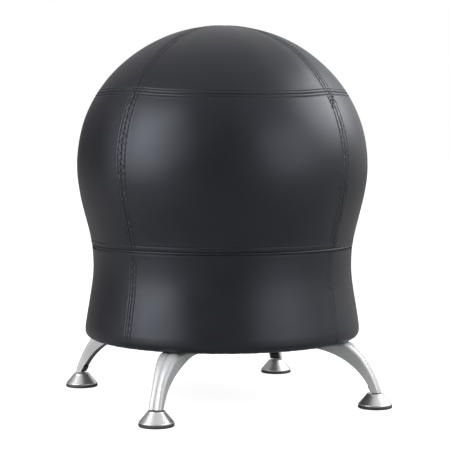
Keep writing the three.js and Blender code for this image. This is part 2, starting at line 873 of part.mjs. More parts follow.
// Pad with the socket that grips the stud's ball
function glidePad() {
  const cavity = studBallRadius + touchGap;
  const bossTop = studBallHeight + socketLip;
  const mouth = Math.acos(socketLip / cavity);
  const outline = [
    [0, 0],
    [padRadius - padEdge, 0],
    [padRadius, padEdge],
    [padRadius, padThickness - padEdge],
    [padRadius - padEdge, padThickness],
    [socketBossRadius, padThickness],
    [socketBossRadius, bossTop],
  ];
  for (let step = 0; step <= sphereSteps; step += 1) {
    const angle = THREE.MathUtils.lerp(mouth, Math.PI, step / sphereSteps);
    const radius = step === sphereSteps ? 0 : cavity * Math.sin(angle);
    outline.push([radius, studBallHeight + cavity * Math.cos(angle)]);
  }
  return revolve(outline, footFlats);
}

// Conical metal cap over the pad, with a hole that lets it tilt on the stud
function glideCone() {
  const bottom = padThickness + touchGap;
  const rim = padRadius - coneRimInset;
  const hole = studRadius + tiltHoleClearance;
  return revolve(ringOutline([
    [rim - coneWall, bottom],
    [rim, bottom],
    [rim, bottom + coneRimHeight],
    [coneTopRadius, coneHeight - coneTopEdge],
    [coneTopRadius - coneTopEdge, coneHeight],
    [hole, coneHeight],
    [hole, coneHeight - coneWall],
    [coneTopRadius - coneTopEdge, coneHeight - coneWall],
    [rim - coneWall, bottom + coneRimHeight],
  ]), footFlats);
}

for (const [place, degrees] of Object.entries(legDegrees)) {
  addPiece(`leg_${place}`, turnToFoot(leg(), degrees), 'silverPaint');
  addPiece(`foot_insert_${place}`, turnToFoot(footInsert(), degrees), 'blackPlastic');
  boltReaches.forEach((reach, i) => {
    const spot = i === 0 ? 'inner' : 'outer';
    addPiece(`leg_bolt_${place}_${spot}`, turnToFoot(legBolt(reach), degrees), 'zincSteel');
    const insert = threadedInsert().translate(reach, 0, 0);
    addPiece(`threaded_insert_${place}_${spot}`, turnToFoot(insert, degrees), 'zincSteel');
  });
  const foot = (geometry) => turnToFoot(geometry.translate(footCircleRadius, 0, 0), degrees);
  addPiece(`glide_stud_${place}`, foot(glideStud()), 'zincSteel');
  addPiece(`glide_cone_${place}`, foot(glideCone()), 'brightMetal');
  addPiece(`glide_pad_${place}`, foot(glidePad()), 'darkPad');
}

export default chair;
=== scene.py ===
# Balance ball chair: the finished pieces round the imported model.
# Metres, +Z up, origin on the floor under the ball, front legs towards -Y.
import math

import bmesh
import bpy
import numpy as np
from mathutils import Matrix, Vector


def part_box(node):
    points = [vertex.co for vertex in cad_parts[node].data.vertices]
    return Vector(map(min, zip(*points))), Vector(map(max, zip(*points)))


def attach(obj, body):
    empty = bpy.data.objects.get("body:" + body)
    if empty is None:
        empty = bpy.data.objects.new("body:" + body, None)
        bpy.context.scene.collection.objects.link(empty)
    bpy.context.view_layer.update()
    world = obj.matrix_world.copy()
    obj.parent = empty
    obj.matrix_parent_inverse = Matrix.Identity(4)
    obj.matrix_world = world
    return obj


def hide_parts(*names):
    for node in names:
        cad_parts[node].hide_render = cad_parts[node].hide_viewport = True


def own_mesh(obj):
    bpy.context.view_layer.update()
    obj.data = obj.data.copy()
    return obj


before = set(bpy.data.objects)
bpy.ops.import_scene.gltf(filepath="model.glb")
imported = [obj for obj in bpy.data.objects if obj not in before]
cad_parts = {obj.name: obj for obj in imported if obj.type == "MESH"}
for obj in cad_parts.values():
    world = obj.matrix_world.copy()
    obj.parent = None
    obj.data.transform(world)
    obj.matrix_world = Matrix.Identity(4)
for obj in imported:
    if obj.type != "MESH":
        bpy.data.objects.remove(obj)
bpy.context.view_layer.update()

MM = 0.001
PANELS = ("front", "right", "rear", "left")
FEET = {"front_left": -45, "front_right": 45, "rear_right": 135, "rear_left": -135}

# Ball and cover, the same sizes as the solids
BALL_RADIUS = 224.8 * MM
BALL_HALF_HEIGHT = 213.9 * MM
BALL_CENTRE = 367.4 * MM
BALL_WALL = 2.0 * MM
COVER_RADIUS = 227.5 * MM
COVER_HALF_HEIGHT = 216.6 * MM
CROWN_SEAM_LIFT = 111.1 * MM
CROWN_POLE = 0.15 * MM
SEAM_SAG = {"front": 7 * MM, "right": 1 * MM, "rear": 7 * MM, "left": 1 * MM}
COVER_TURN, FRONT_GORE = -16.55, 93.7
SKIRT_TURN, SKIRT_FRONT = -17.2, 92.4
SIDE_BOTTOM = 244.6 * MM
SKIRT_TOP = 239.2 * MM
VINYL = 1.4 * MM
SEAM_GAP = 0.1 * MM

# Knots of the cover's outline below the ball: height, radius, lean
OUTLINE = (
    (110.3 * MM, 215.8 * MM, 0.0),
    (120.0 * MM, 215.2 * MM, -0.15),
    (212.0 * MM, 202.8 * MM, 0.0),
    (241.0 * MM, 204.4 * MM, 0.13),
    (331.4 * MM, None, 0.15),
)
HEM_HEIGHT = 98.3 * MM
HEM_CORNER = 12.0 * MM
HEM_RADIUS = 215.8 * MM
HEM_INNER = 181.8 * MM
CORNER_CENTRE = (HEM_RADIUS - HEM_CORNER, HEM_HEIGHT + HEM_CORNER)

# Seams and topstitching
SIDE_BAND = 7.4 * MM
SKIRT_BAND = 5.4 * MM
CROWN_BAND = 5.0 * MM
WAIST_BAND = 7.0 * MM
PUCKER = 0.62 * MM
STITCH_PITCH = 4.0 * MM
STITCH_LENGTH = 3.1 * MM
THREAD_RADIUS = 0.34 * MM
THREAD_SINK = 0.45 * MM

# Relief of a seam: band up to its stitches, rib, furrow and rolled edge
SIDE_SEAM = (SIDE_BAND, 0.25 * MM, 0.55 * MM, 0.55 * MM)
SKIRT_SEAM = (SKIRT_BAND, 0.25 * MM, 0.55 * MM, 0.5 * MM)
CROWN_SEAM = (CROWN_BAND, 0.42 * MM, 0.5 * MM, 0.5 * MM)
OVER_WELT = (WAIST_BAND, 0.2 * MM, 0.3 * MM, 0.4 * MM)
UNDER_WELT = (WAIST_BAND, 0.05 * MM, 0.0, 0.15 * MM)
FADE = 30 * MM

# Flat panels: length from seam to seam, and the crown's width against the side's
SIDE_FLAT = 0.246
CROWN_FLAT = 0.24
CROWN_SHARE = 0.87

# Grid of a panel: points are spaced as on a piece of this length, and gather near its seams
COLUMNS, ROWS, SKIRT_ROWS = 88, 220, 170
SIDE_RISE, CROWN_RISE = 0.2339, 0.235
EDGE = 15 * MM
EDGE_SHARE = 0.2
END_SHARE = 0.12
LINE_POINTS = 160
LINE_SHARES = np.linspace(0.012, 0.988, LINE_POINTS)


def clear_selection():
    if bpy.context.object and bpy.context.object.mode != "OBJECT":
        bpy.ops.object.mode_set(mode="OBJECT")
    bpy.ops.object.select_all(action="DESELECT")


def pick(obj):
    clear_selection()
    obj.select_set(True)
    bpy.context.view_layer.objects.active = obj


def edit(obj):
    pick(obj)
    bpy.ops.object.mode_set(mode="EDIT")
    bpy.ops.mesh.select_all(action="SELECT")


def close_edit():
    bpy.ops.object.mode_set(mode="OBJECT")


def seal(weld):
    """Leaves edit mode with points closer than weld made one, and all faces outwards."""
    bpy.ops.mesh.select_all(action="SELECT")
    bpy.ops.mesh.remove_doubles(threshold=weld)
    bpy.ops.mesh.normals_make_consistent(inside=False)
    close_edit()


def primitive(add, **settings):
    """A new object at the origin, with its place, turn and size in its mesh."""
    clear_selection()
    add(**settings)
    bpy.ops.object.transform_apply(location=True, rotation=True, scale=True)
    return bpy.context.object


def linked(name, data=None):
    obj = bpy.data.objects.new(name, data)
    bpy.context.collection.objects.link(obj)
    return obj


def twin(obj):
    """A copy with its own mesh."""
    copy = obj.copy()
    copy.data = obj.data.copy()
    bpy.context.collection.objects.link(copy)
    return copy


def turned_copy(master, degrees, shift=(0, 0, 0)):
    """A twin, shifted and then turned about Z from +X to a direction on the base."""
    copy = twin(master)
    copy.data.transform(Matrix.Rotation(math.radians(degrees - 90), 4, "Z") @ Matrix.Translation(shift))
    return copy


def drop(*objs):
    for obj in objs:
        bpy.data.objects.remove(obj, do_unlink=True)


def points_of(obj):
    flat = np.empty(len(obj.data.vertices) * 3)
    obj.data.vertices.foreach_get("co", flat)
    return flat.reshape(-1, 3)


def set_points(obj, points):
    obj.data.vertices.foreach_set("co", np.ascontiguousarray(points, np.float32).ravel())
    obj.data.update()


def mark(obj, name, values):
    """A value for each point, which a material reads."""
    attribute = obj.data.attributes.new(name, "FLOAT", "POINT")
    attribute.data.foreach_set("value", np.asarray(values, np.float32))


def apply_modifier(obj, kind, **settings):
    pick(obj)
    modifier = obj.modifiers.new(kind.title(), kind)
    for key, value in settings.items():
        setattr(modifier, key, value)
    bpy.ops.object.modifier_apply(modifier=modifier.name)


def smooth(obj, degrees):
    pick(obj)
    bpy.ops.object.shade_smooth_by_angle(angle=math.radians(degrees))


def drill(obj, flats, depth, place):
    """Cuts an upright hole for a bolt."""
    cutter = primitive(bpy.ops.mesh.primitive_cylinder_add, vertices=flats, radius=BOLT_HOLE, depth=depth,
                       location=place)
    apply_modifier(obj, "BOOLEAN", object=cutter, operation="DIFFERENCE", solver="EXACT")
    drop(cutter)


def gathered(pieces):
    """The pieces joined to one."""
    pick(pieces[0])
    for piece in pieces:
        piece.select_set(True)
    bpy.ops.object.join()
    whole = bpy.context.object
    smooth(whole, 60)
    return whole


def hand_over(obj, name, material, body, slot, *nodes):
    obj.name = name
    obj.data.name = name
    obj.data.materials.clear()
    obj.data.materials.append(material)
    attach(obj, body)
    if nodes:
        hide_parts(*nodes)
    return obj


# Outline of the cover

def ball_width(height):
    share = np.clip((height - BALL_CENTRE) / COVER_HALF_HEIGHT, -1, 1)
    return COVER_RADIUS * np.sqrt(1 - share * share)


def cover_width(height):
    height = np.asarray(height, float)
    width = ball_width(height)
    knots = [(z, ball_width(z) if r is None else r, lean) for z, r, lean in OUTLINE]
    for (z0, r0, lean0), (z1, r1, lean1) in zip(knots, knots[1:]):
        span = z1 - z0
        t = np.clip((height - z0) / span, 0, 1)
        rise = r0 + (r1 - r0) * t * t * (3 - 2 * t)
        bend = t * (1 - t) * span * ((1 - t) * lean0 - t * lean1)
        width = np.where((height <= z1) & (height >= z0), rise + bend, width)
    return np.where(height < knots[0][0], knots[0][1], width)


def cover_lean(height, probe=0.5 * MM):
    return (cover_width(height + probe) - cover_width(height - probe)) / (2 * probe)


def gore(side, front):
    """Width of a panel in degrees."""
    return front if side in ("front", "rear") else 180 - front


def seams_of(side, turn, front):
    middle, width = turn + PANELS.index(side) * 90, gore(side, front)
    return math.radians(middle - width / 2), math.radians(middle + width / 2)


def seam_height(side, share):
    return BALL_CENTRE + CROWN_SEAM_LIFT - SEAM_SAG[side] * 4 * share * (1 - share)


def polar(radius, angle, height):
    return np.stack([radius * np.sin(angle), -radius * np.cos(angle), height], axis=1)


def angle_and_radius(points):
    return np.arctan2(points[:, 0], -points[:, 1]), np.hypot(points[:, 0], points[:, 1])


def turns_between(start, end, steps):
    return [math.radians(start + (end - start) * i / steps) for i in range(steps + 1)]


def arc(centre, radius, start, end, steps):
    return [(centre[0] + radius * math.cos(turn), centre[1] + radius * math.sin(turn))
            for turn in turns_between(start, end, steps)]


def run_along(points):
    """Distance along a line of points, from the first to each."""
    return np.concatenate([[0], np.cumsum(np.linalg.norm(np.diff(points, axis=0), axis=1))])


# Relief of sewn vinyl

def wave(distance, seed, *lengths):
    """Sum of sines with the given wavelengths in mm, the same each run."""
    phases = np.random.default_rng(seed).uniform(0, 2 * math.pi, len(lengths))
    total = sum(np.sin(2 * math.pi * distance / (length * MM) + phase)
                for length, phase in zip(lengths, phases))
    return total / len(lengths)


def bell(distance, width):
    """1 at no distance, falling off over a width in mm."""
    return np.exp(-((distance / (width * MM)) ** 2))


def seam_relief(away, band, rib, furrow, roll):
    """Relief and crease at a distance from a seam: rolled edge, padded rib and stitched furrow."""
    past = away - band
    padding = rib * np.sin(math.pi * np.clip(away / band, 0, 1)) ** 0.7
    shoulder = 0.3 * furrow * bell(past - 2.2 * MM, 1.6)
    relief = -roll * bell(away, 0.65) + padding - furrow * bell(past, 0.85) + shoulder
    # The crease value marks the rolled edge and the stitched furrow. The vinyl paints shade there by
    # darkening its colour, and dulls its gloss.
    crease = 0.7 * bell(away, 0.6) + (furrow > 0) * bell(past, 0.75)
    return relief, np.clip(crease, 0, 1)


def upright_seams(left, right, along, seed, seam, pucker):
    """A panel's two upright seams, where the thread draws the vinyl into short slanted pleats."""
    seams, band = [], seam[0]
    for away, start in ((left, seed), (right, seed + 20)):
        relief, crease = seam_relief(away, *seam)
        pleats = wave(0.72 * along + 1.2 * away, start, 5.3, 6.3, 7.9)
        cross = wave(0.66 * along - 1.4 * away, start + 3, 4.7, 6.9, 9.3)
        patch = np.clip(0.8 + 0.6 * wave(along, start + 7, 43, 71, 113), 0.25, 1.3)
        between = np.sin(math.pi * np.clip(away / band, 0, 1)) ** 0.6 * (away < band)
        beyond = 0.4 * bell(np.maximum(away - band, 0), 4) * (away >= band)
        drawn = pucker * patch * (between * (pleats + 0.8 * cross) + beyond * pleats)
        seams.append((relief + drawn, crease))
    return seams


def merged(parts):
    """Relief and crease of several seams: the deepest wins near a seam, and ribs don't add up."""
    reliefs = np.array([relief for relief, _ in parts])
    low, high = reliefs.min(axis=0), reliefs.max(axis=0)
    deep = np.clip(-low / (0.25 * MM), 0, 1)
    return low * deep + (low + high) * (1 - deep), np.max([crease for _, crease in parts], axis=0)


def swell(angle, height, seed, left, right):
    """Slow unevenness of the stretched vinyl, fading out at the upright seams."""
    around = wave(angle * COVER_RADIUS + 0.4 * height, seed, 83, 127, 191)
    up = wave(height - 0.3 * angle * COVER_RADIUS, seed + 3, 71, 118, 173)
    return 0.3 * MM * (around + up) * np.clip(np.minimum(left, right) / FADE, 0, 1)


def spread(share, width, edge=EDGE, edge_share=EDGE_SHARE):
    """Distances across a panel, close together near both ends."""
    edge = np.minimum(edge, 0.3 * width)
    middle = (share - edge_share) / (1 - 2 * edge_share)
    first = share / edge_share * edge
    last = width - (1 - share) / edge_share * edge
    between = edge + middle * (width - 2 * edge)
    return np.where(share < edge_share, first, np.where(share > 1 - edge_share, last, between))


def across(u, width, start, end):
    """Share of a panel's width, distances from its two upright seams, and the angle."""
    share = spread(u, width) / width
    return share, share * width, (1 - share) * width, start + share * (end - start)


def shaped_grid(columns, rows, place):
    """A grid whose points are laid on a surface; place gives points and crease values."""
    obj = primitive(bpy.ops.mesh.primitive_grid_add, x_subdivisions=columns, y_subdivisions=rows, size=1)
    shares = points_of(obj) + 0.5
    points, crease = place(shares[:, 0], shares[:, 1])
    set_points(obj, points)
    mark(obj, "crease", crease)
    return obj


def backed_sheet(obj):
    """Turns the sheet's faces out and gives it its thickness inwards. Returns its area."""
    mesh = obj.data
    if sum(p.center.x * p.normal.x + p.center.y * p.normal.y for p in mesh.polygons) < 0:
        mesh.flip_normals()
    area = sum(p.area for p in mesh.polygons)
    apply_modifier(obj, "SOLIDIFY", thickness=VINYL, offset=-1)
    smooth(obj, 60)
    return area


def side_panel(side):
    start, end = seams_of(side, COVER_TURN, FRONT_GORE)
    seed = 10 + PANELS.index(side)

    def place(u, v):
        rise = spread(v, SIDE_RISE, EDGE, END_SHARE) / SIDE_RISE
        coarse = SIDE_BOTTOM + rise * (seam_height(side, u) - SIDE_BOTTOM)
        width = (end - start) * cover_width(coarse)
        share, left, right, angle = across(u, width, start, end)
        top = seam_height(side, share) - SEAM_GAP
        height = SIDE_BOTTOM + rise * (top - SIDE_BOTTOM)
        lean = cover_lean(height)
        length = np.hypot(1, lean)
        offset, crease = merged([
            *upright_seams(left, right, height, seed, SIDE_SEAM, PUCKER),
            seam_relief((top - height) * length, *CROWN_SEAM),
            seam_relief((height - SIDE_BOTTOM) * length, *OVER_WELT),
        ])
        offset = offset + swell(angle, height, 5, left, right)
        radius = cover_width(height) + offset / length
        gap = SEAM_GAP * (1 - 2 * share) / radius
        return polar(radius, angle + gap, height - offset * lean / length), crease

    return shaped_grid(COLUMNS, ROWS, place)


def crown_panel(side):
    start, end = seams_of(side, COVER_TURN, FRONT_GORE)
    seed = 30 + PANELS.index(side)
    last = math.acos(CROWN_POLE / COVER_RADIUS)

    def place(u, v):
        rise = spread(v, CROWN_RISE, EDGE, END_SHARE) / CROWN_RISE
        share = u
        for _ in range(3):
            edge = seam_height(side, share) + SEAM_GAP
            first = np.arcsin((edge - BALL_CENTRE) / COVER_HALF_HEIGHT)
            slope = first + rise * (last - first)
            width = (end - start) * COVER_RADIUS * np.cos(slope)
            share, left, right, angle = across(u, width, start, end)
        wide = COVER_RADIUS * np.cos(slope)
        tall = COVER_HALF_HEIGHT * np.sin(slope)
        out_r, out_z = wide / COVER_RADIUS ** 2, tall / COVER_HALF_HEIGHT ** 2
        length = np.hypot(out_r, out_z)
        offset, crease = merged([
            *upright_seams(left, right, slope * COVER_RADIUS, seed, SIDE_SEAM, 0.6 * PUCKER),
            seam_relief((slope - first) * COVER_RADIUS, *CROWN_SEAM),
        ])
        offset = offset * np.clip(width / FADE, 0, 1)
        offset = offset + swell(angle, tall + BALL_CENTRE, 5, left, right)
        height = BALL_CENTRE + tall + offset * out_z / length
        return polar(wide + offset * out_r / length, angle, height), crease

    return shaped_grid(COLUMNS, ROWS, place)


def skirt_path():
    """Radius and height along the skirt from the hem's inner end to the waist, every 0.5 mm or so."""
    path = [(radius, HEM_HEIGHT) for radius in np.linspace(HEM_INNER, CORNER_CENTRE[0], 60)]
    path += arc(CORNER_CENTRE, HEM_CORNER, -90, 0, 24)[1:]
    path += [(float(cover_width(height)), height)
             for height in np.linspace(CORNER_CENTRE[1], SKIRT_TOP, 260)[1:]]
    return np.array(path)


SKIRT_PATH = skirt_path()
SKIRT_RUN = run_along(SKIRT_PATH)


def skirt_at(run, probe=0.8 * MM):
    """Radius, height and outward direction at a distance along the skirt."""
    here, ahead, behind = (
        [np.interp(run + step, SKIRT_RUN, SKIRT_PATH[:, k]) for k in (0, 1)] for step in (0, probe, -probe))
    along_r, along_z = ahead[0] - behind[0], ahead[1] - behind[1]
    length = np.hypot(along_r, along_z)
    return *here, along_z / length, -along_r / length


def skirt_panel(side):
    start, end = seams_of(side, SKIRT_TURN, SKIRT_FRONT)
    seed = 50 + PANELS.index(side)
    total = SKIRT_RUN[-1]

    def place(u, v):
        run = spread(v, total, 2 * EDGE, EDGE_SHARE)
        radius, height, out_r, out_z = skirt_at(run)
        width = (end - start) * radius
        _, left, right, angle = across(u, width, start, end)
        offset, crease = merged([
            *upright_seams(left, right, run, seed, SKIRT_SEAM, 0.5 * PUCKER),
            seam_relief(total - run, *UNDER_WELT),
        ])
        offset = offset + swell(angle, height, 8, left, right)
        under = np.clip((HEM_HEIGHT + 6 * MM - height) / (6 * MM), 0, 1)
        gather = 0.35 * MM * (1 + wave(angle * HEM_RADIUS, seed + 5, 11, 17, 29))
        offset = offset * (1 - under) - gather * under
        height = np.maximum(height + offset * out_z, HEM_HEIGHT)
        return polar(radius + offset * out_r, angle, height), crease

    return shaped_grid(COLUMNS, SKIRT_ROWS, place)


def sewn_line(points):
    """A row of thread stitches along a line of points: one stitch, arrayed and bent to the line."""
    path = bpy.data.curves.new("stitch_path", "CURVE")
    path.dimensions = "3D"
    spline = path.splines.new("POLY")
    spline.points.add(len(points) - 1)
    spline.points.foreach_set("co", np.column_stack([points, np.ones(len(points))]).ravel())
    line = linked("stitch_path", path)
    stitch = primitive(bpy.ops.mesh.primitive_cylinder_add, vertices=6, radius=THREAD_RADIUS,
                       depth=STITCH_LENGTH * 0.66, rotation=(0, math.pi / 2, 0),
                       location=(STITCH_PITCH / 2, 0, 0))
    edit(stitch)
    for sign in (-1, 1):
        bpy.ops.mesh.select_all(action="DESELECT")
        mesh = bmesh.from_edit_mesh(stitch.data)
        for face in mesh.faces:
            face.select_set(abs(face.normal.x - sign) < 0.1)
        bmesh.update_edit_mesh(stitch.data)
        bpy.ops.mesh.extrude_region_move(
            TRANSFORM_OT_translate={"value": (sign * STITCH_LENGTH * 0.17, 0, -THREAD_RADIUS * 1.2)})
        centre = (STITCH_PITCH / 2 + sign * STITCH_LENGTH / 2, 0, -THREAD_RADIUS * 1.2)
        bpy.ops.transform.resize(value=(0.6, 0.6, 0.6), center_override=centre)
    close_edit()
    count = int(run_along(points)[-1] / STITCH_PITCH)
    apply_modifier(stitch, "ARRAY", count=count, use_relative_offset=False,
                   use_constant_offset=True, constant_offset_displace=(STITCH_PITCH, 0, 0))
    apply_modifier(stitch, "CURVE", object=line, deform_axis="POS_X")
    drop(line)
    return stitch


def lines_by(seams, away, radius, height):
    """A line on the inner side of each upright seam, at an angle away from it."""
    return [polar(radius, seams[0] + away, height), polar(radius, seams[1] - away, height)]


def side_stitch_lines(side):
    start, end = seams_of(side, COVER_TURN, FRONT_GORE)
    heights = np.linspace(SIDE_BOTTOM + 3 * MM, seam_height(side, 0) - 4 * MM, LINE_POINTS)
    radius = cover_width(heights)
    lines = lines_by((start, end), SIDE_BAND / radius, radius - THREAD_SINK, heights)
    top = seam_height(side, LINE_SHARES)
    by_crown = top - CROWN_BAND / np.hypot(1, cover_lean(top))
    for heights in (by_crown, np.full_like(top, SIDE_BOTTOM + WAIST_BAND)):
        lines.append(polar(cover_width(heights) - THREAD_SINK, start + LINE_SHARES * (end - start), heights))
    return lines


def crown_stitch_lines(side):
    start, end = seams_of(side, COVER_TURN, FRONT_GORE)
    radius, half = COVER_RADIUS - THREAD_SINK, COVER_HALF_HEIGHT - THREAD_SINK
    first = math.asin((seam_height(side, 0) - BALL_CENTRE) / COVER_HALF_HEIGHT)
    slopes = np.linspace(first + 3 * MM / COVER_RADIUS, math.acos(22 * MM / COVER_RADIUS), LINE_POINTS)
    wide = radius * np.cos(slopes)
    lines = lines_by((start, end), np.arcsin(SIDE_BAND / wide), wide, BALL_CENTRE + half * np.sin(slopes))
    slope = np.arcsin((seam_height(side, LINE_SHARES) - BALL_CENTRE) / COVER_HALF_HEIGHT)
    slope = slope + CROWN_BAND / COVER_RADIUS
    lines.append(polar(radius * np.cos(slope), start + LINE_SHARES * (end - start),
                       BALL_CENTRE + half * np.sin(slope)))
    return lines


def skirt_stitch_lines(side):
    radius, height, out_r, out_z = skirt_at(np.linspace(4 * MM, SKIRT_RUN[-1] - 3 * MM, LINE_POINTS))
    sunk = np.maximum(height - THREAD_SINK * out_z, HEM_HEIGHT + THREAD_RADIUS)
    return lines_by(seams_of(side, SKIRT_TURN, SKIRT_FRONT), SKIRT_BAND / radius,
                    radius - THREAD_SINK * out_r, sunk)


# Materials

class Recipe:
    """The nodes of a material, of a node group or of the world."""

    def __init__(self, tree):
        self.tree = tree

    def feed(self, socket, value):
        if isinstance(value, bpy.types.NodeSocket):
            self.tree.links.new(value, socket)
        else:
            socket.default_value = (*value, 1) if socket.type == "RGBA" else value

    def add(self, kind, inputs=None, **settings):
        """A new shader node. Returns its outputs."""
        node = self.tree.nodes.new(f"ShaderNode{kind}")
        for key, value in settings.items():
            setattr(node, key, value)
        for name, value in (inputs or {}).items():
            self.feed(node.inputs[name], value)
        return node.outputs

    def math(self, operation, a, b=0.0, clamp=False):
        return self.add("Math", {0: a, 1: b}, operation=operation, use_clamp=clamp)[0]

    def times(self, value, factor):
        return self.math("MULTIPLY", value, factor)

    def plus(self, a, b, clamp=False):
        return self.math("ADD", a, b, clamp)

    def remap(self, value, low, high, new_low, new_high):
        return self.add("MapRange", {
            "Value": value, "From Min": low, "From Max": high, "To Min": new_low, "To Max": new_high,
        })["Result"]

    def stretch(self, value, low=0.0, high=1.0):
        """The middle of a noise's range, drawn out to a range of its own."""
        return self.remap(value, 0.3, 0.7, low, high)

    def mix(self, share, a, b):
        return self.add("Mix", {0: share, 6: a, 7: b}, data_type="RGBA")[2]

    def place(self):
        return self.add("TexCoord")["Object"]

    def noise(self, place, scale, detail, **more):
        return self.add("TexNoise", {"Vector": place, "Scale": scale, "Detail": detail, **more})["Fac"]

    def cells(self, place, scale, **settings):
        return self.add("TexVoronoi", {"Vector": place, "Scale": scale}, **settings)["Distance"]

    def effect(self, group, control):
        """A node group, with its one control set."""
        return self.add("Group", {0: control, 1: self.place()}, node_tree=group)


class Look(Recipe):
    """A material round its Principled shader."""

    def __init__(self, name, preview):
        self.material = bpy.data.materials.new(name)
        self.material.use_nodes = True
        self.material.diffuse_color = (*preview, 1)
        super().__init__(self.material.node_tree)
        self.shader = self.tree.nodes["Principled BSDF"]

    def finish(self, levels):
        for name, value in levels.items():
            self.feed(self.shader.inputs[name], value)
        return self.material

    def bumped(self, colour, roughness, height, strength, distance, levels=None):
        """The material, with the shader's colour, roughness, bump and further levels fed."""
        bump = self.add("Bump", {"Height": height, "Strength": strength, "Distance": distance})
        return self.finish({"Base Color": colour, "Roughness": roughness, "Normal": bump["Normal"],
                            **(levels or {})})


def node_group(name, control, own, build):
    """A shader node group: a control and a place in, and height, tone and an output of its own."""
    tree = bpy.data.node_groups.new(name, "ShaderNodeTree")
    tree.interface.new_socket(control, in_out="INPUT", socket_type="NodeSocketFloat")
    tree.interface.new_socket("Place", in_out="INPUT", socket_type="NodeSocketVector")
    for label in ("Height", "Tone", own):
        tree.interface.new_socket(label, in_out="OUTPUT", socket_type="NodeSocketFloat")
    enter = tree.nodes.new("NodeGroupInput").outputs
    leave = tree.nodes.new("NodeGroupOutput").inputs
    for index, socket in enumerate(build(Recipe(tree), enter["Place"], enter[control])):
        tree.links.new(socket, leave[index])
    return tree


def build_hide(recipe, place, pebbles):
    """Pressed grain of vinyl: rounded pebbles with fine creases between them, and slow tone."""
    warp = recipe.add("TexNoise", {"Vector": place, "Scale": 420.0, "Detail": 2.0})["Color"]
    bent = recipe.add("VectorMath", {0: warp, 1: (0.0006, 0.0006, 0.0006)}, operation="MULTIPLY")[0]
    moved = recipe.add("VectorMath", {0: place, 1: bent}, operation="ADD")[0]
    pebble = recipe.remap(recipe.cells(moved, pebbles, feature="DISTANCE_TO_EDGE"), 0.0, 0.22, 0.0, 1.0)
    height = recipe.plus(pebble, recipe.times(recipe.noise(place, 2600.0, 3.0), 0.35))
    return height, recipe.noise(place, 14.0, 4.0), pebble


def build_peel(recipe, place, ripple):
    """Fine ripple of sprayed powder paint, with small lighter flecks."""
    height = recipe.noise(place, ripple, 3.0, Roughness=0.6)
    flake = recipe.remap(recipe.cells(place, 900.0), 0.0, 0.6, 1.0, 0.0)
    return height, recipe.noise(place, 22.0, 4.0), flake


def build_fibre(recipe, place, threads):
    """Crossed threads or fibres."""
    axes = recipe.add("SeparateXYZ", {"Vector": place})
    along, across = (recipe.math("SINE", recipe.times(axes[axis], threads)) for axis in ("X", "Y"))
    fuzz = recipe.noise(place, 1500.0, 4.0)
    height = recipe.plus(recipe.times(along, across), recipe.times(fuzz, 1.2))
    return height, recipe.noise(place, 30.0, 3.0), fuzz


HIDE = node_group("hide_grain", "Pebbles", "Pebble", build_hide)
PEEL = node_group("paint_peel", "Ripple", "Flake", build_peel)
FIBRE = node_group("fibre_cross", "Threads", "Fuzz", build_fibre)


def grey(value):
    return (value, value, value)


def vinyl(name, dark, light, rough_low, rough_high, pebbles=900.0):
    """Smooth upholstery vinyl: fine grain, slow tone, and painted shade and dullness in the creases."""
    look = Look(name, light)
    grain = look.effect(HIDE, pebbles)
    crease = look.add("Attribute", attribute_name="crease")["Fac"]
    tone = look.mix(look.stretch(grain["Tone"]), dark, light)
    # Painted shade: where the crease value is high (seam edges, stitched furrows, the piping's underside) the
    # colour is darkened towards a third of the dark tone.
    shaded = look.mix(look.times(crease, 0.75), tone, [c * 0.35 for c in dark])
    valley = look.times(look.math("SUBTRACT", 1.0, grain["Pebble"]), 0.06)
    rough = look.plus(look.stretch(grain["Tone"], rough_low, rough_high), valley)
    dull = look.plus(rough, look.times(crease, 0.25))
    return look.bumped(shaded, dull, grain["Height"], 0.35, 0.00006, {
        "Specular IOR Level": 0.38, "Specular Tint": (0.81, 0.87, 1.0)})


def painted_metal(name, low, high, rough_low, rough_high, ripple=700.0, metallic=0.9):
    look = Look(name, high)
    paint = look.effect(PEEL, ripple)
    tone = look.mix(look.stretch(paint["Tone"]), low, high)
    # At each flake spot the paint colour is drawn a little towards pale grey.
    lit = look.mix(look.times(paint["Flake"], 0.12), tone, grey(0.85))
    rough = look.stretch(paint["Tone"], rough_low, rough_high)
    return look.bumped(lit, rough, paint["Height"], 0.25, 0.00005, {"Metallic": metallic})


def turned_metal(name, low, high, rough_low, rough_high):
    """Metal with fine turning lines that follow the piece's profile."""
    look = Look(name, high)
    run = look.add("Attribute", attribute_name="profile_run")["Fac"]
    lines = look.add("TexNoise", {"W": run, "Scale": 2600.0, "Detail": 3.0}, noise_dimensions="1D")["Fac"]
    paint = look.effect(PEEL, 500.0)
    share = look.stretch(lines)
    worn = look.times(look.math("SUBTRACT", paint["Tone"], 0.5), 0.16)
    rough = look.plus(look.stretch(lines, rough_low, rough_high), worn)
    height = look.plus(share, look.times(paint["Height"], 0.6))
    return look.bumped(look.mix(share, low, high), rough, height, 0.2, 0.00003, {"Metallic": 1.0})


def moulded(name, dark, light, rough_low, rough_high, ripple=1400.0, strength=0.3):
    """Moulded plastic or rubber with a fine satin texture."""
    look = Look(name, light)
    skin = look.effect(PEEL, ripple)
    tone = look.mix(look.stretch(skin["Tone"]), dark, light)
    rough = look.stretch(skin["Height"], rough_low, rough_high)
    return look.bumped(tone, rough, skin["Height"], strength, 0.00005)


def cloth(name, dark, light, threads, strength=0.6):
    look = Look(name, light)
    weave = look.effect(FIBRE, threads)
    # Painted shade between the threads: the colour is lighter where the weave is raised and darker in the
    # dips between threads.
    raised = look.remap(weave["Height"], -1.0, 2.0, 0.0, 0.7)
    share = look.plus(raised, look.times(weave["Tone"], 0.3))
    rough = look.stretch(weave["Fuzz"], 0.8, 0.98)
    return look.bumped(look.mix(share, dark, light), rough, weave["Height"], strength, 0.0001,
                       {"Sheen Weight": 0.2})


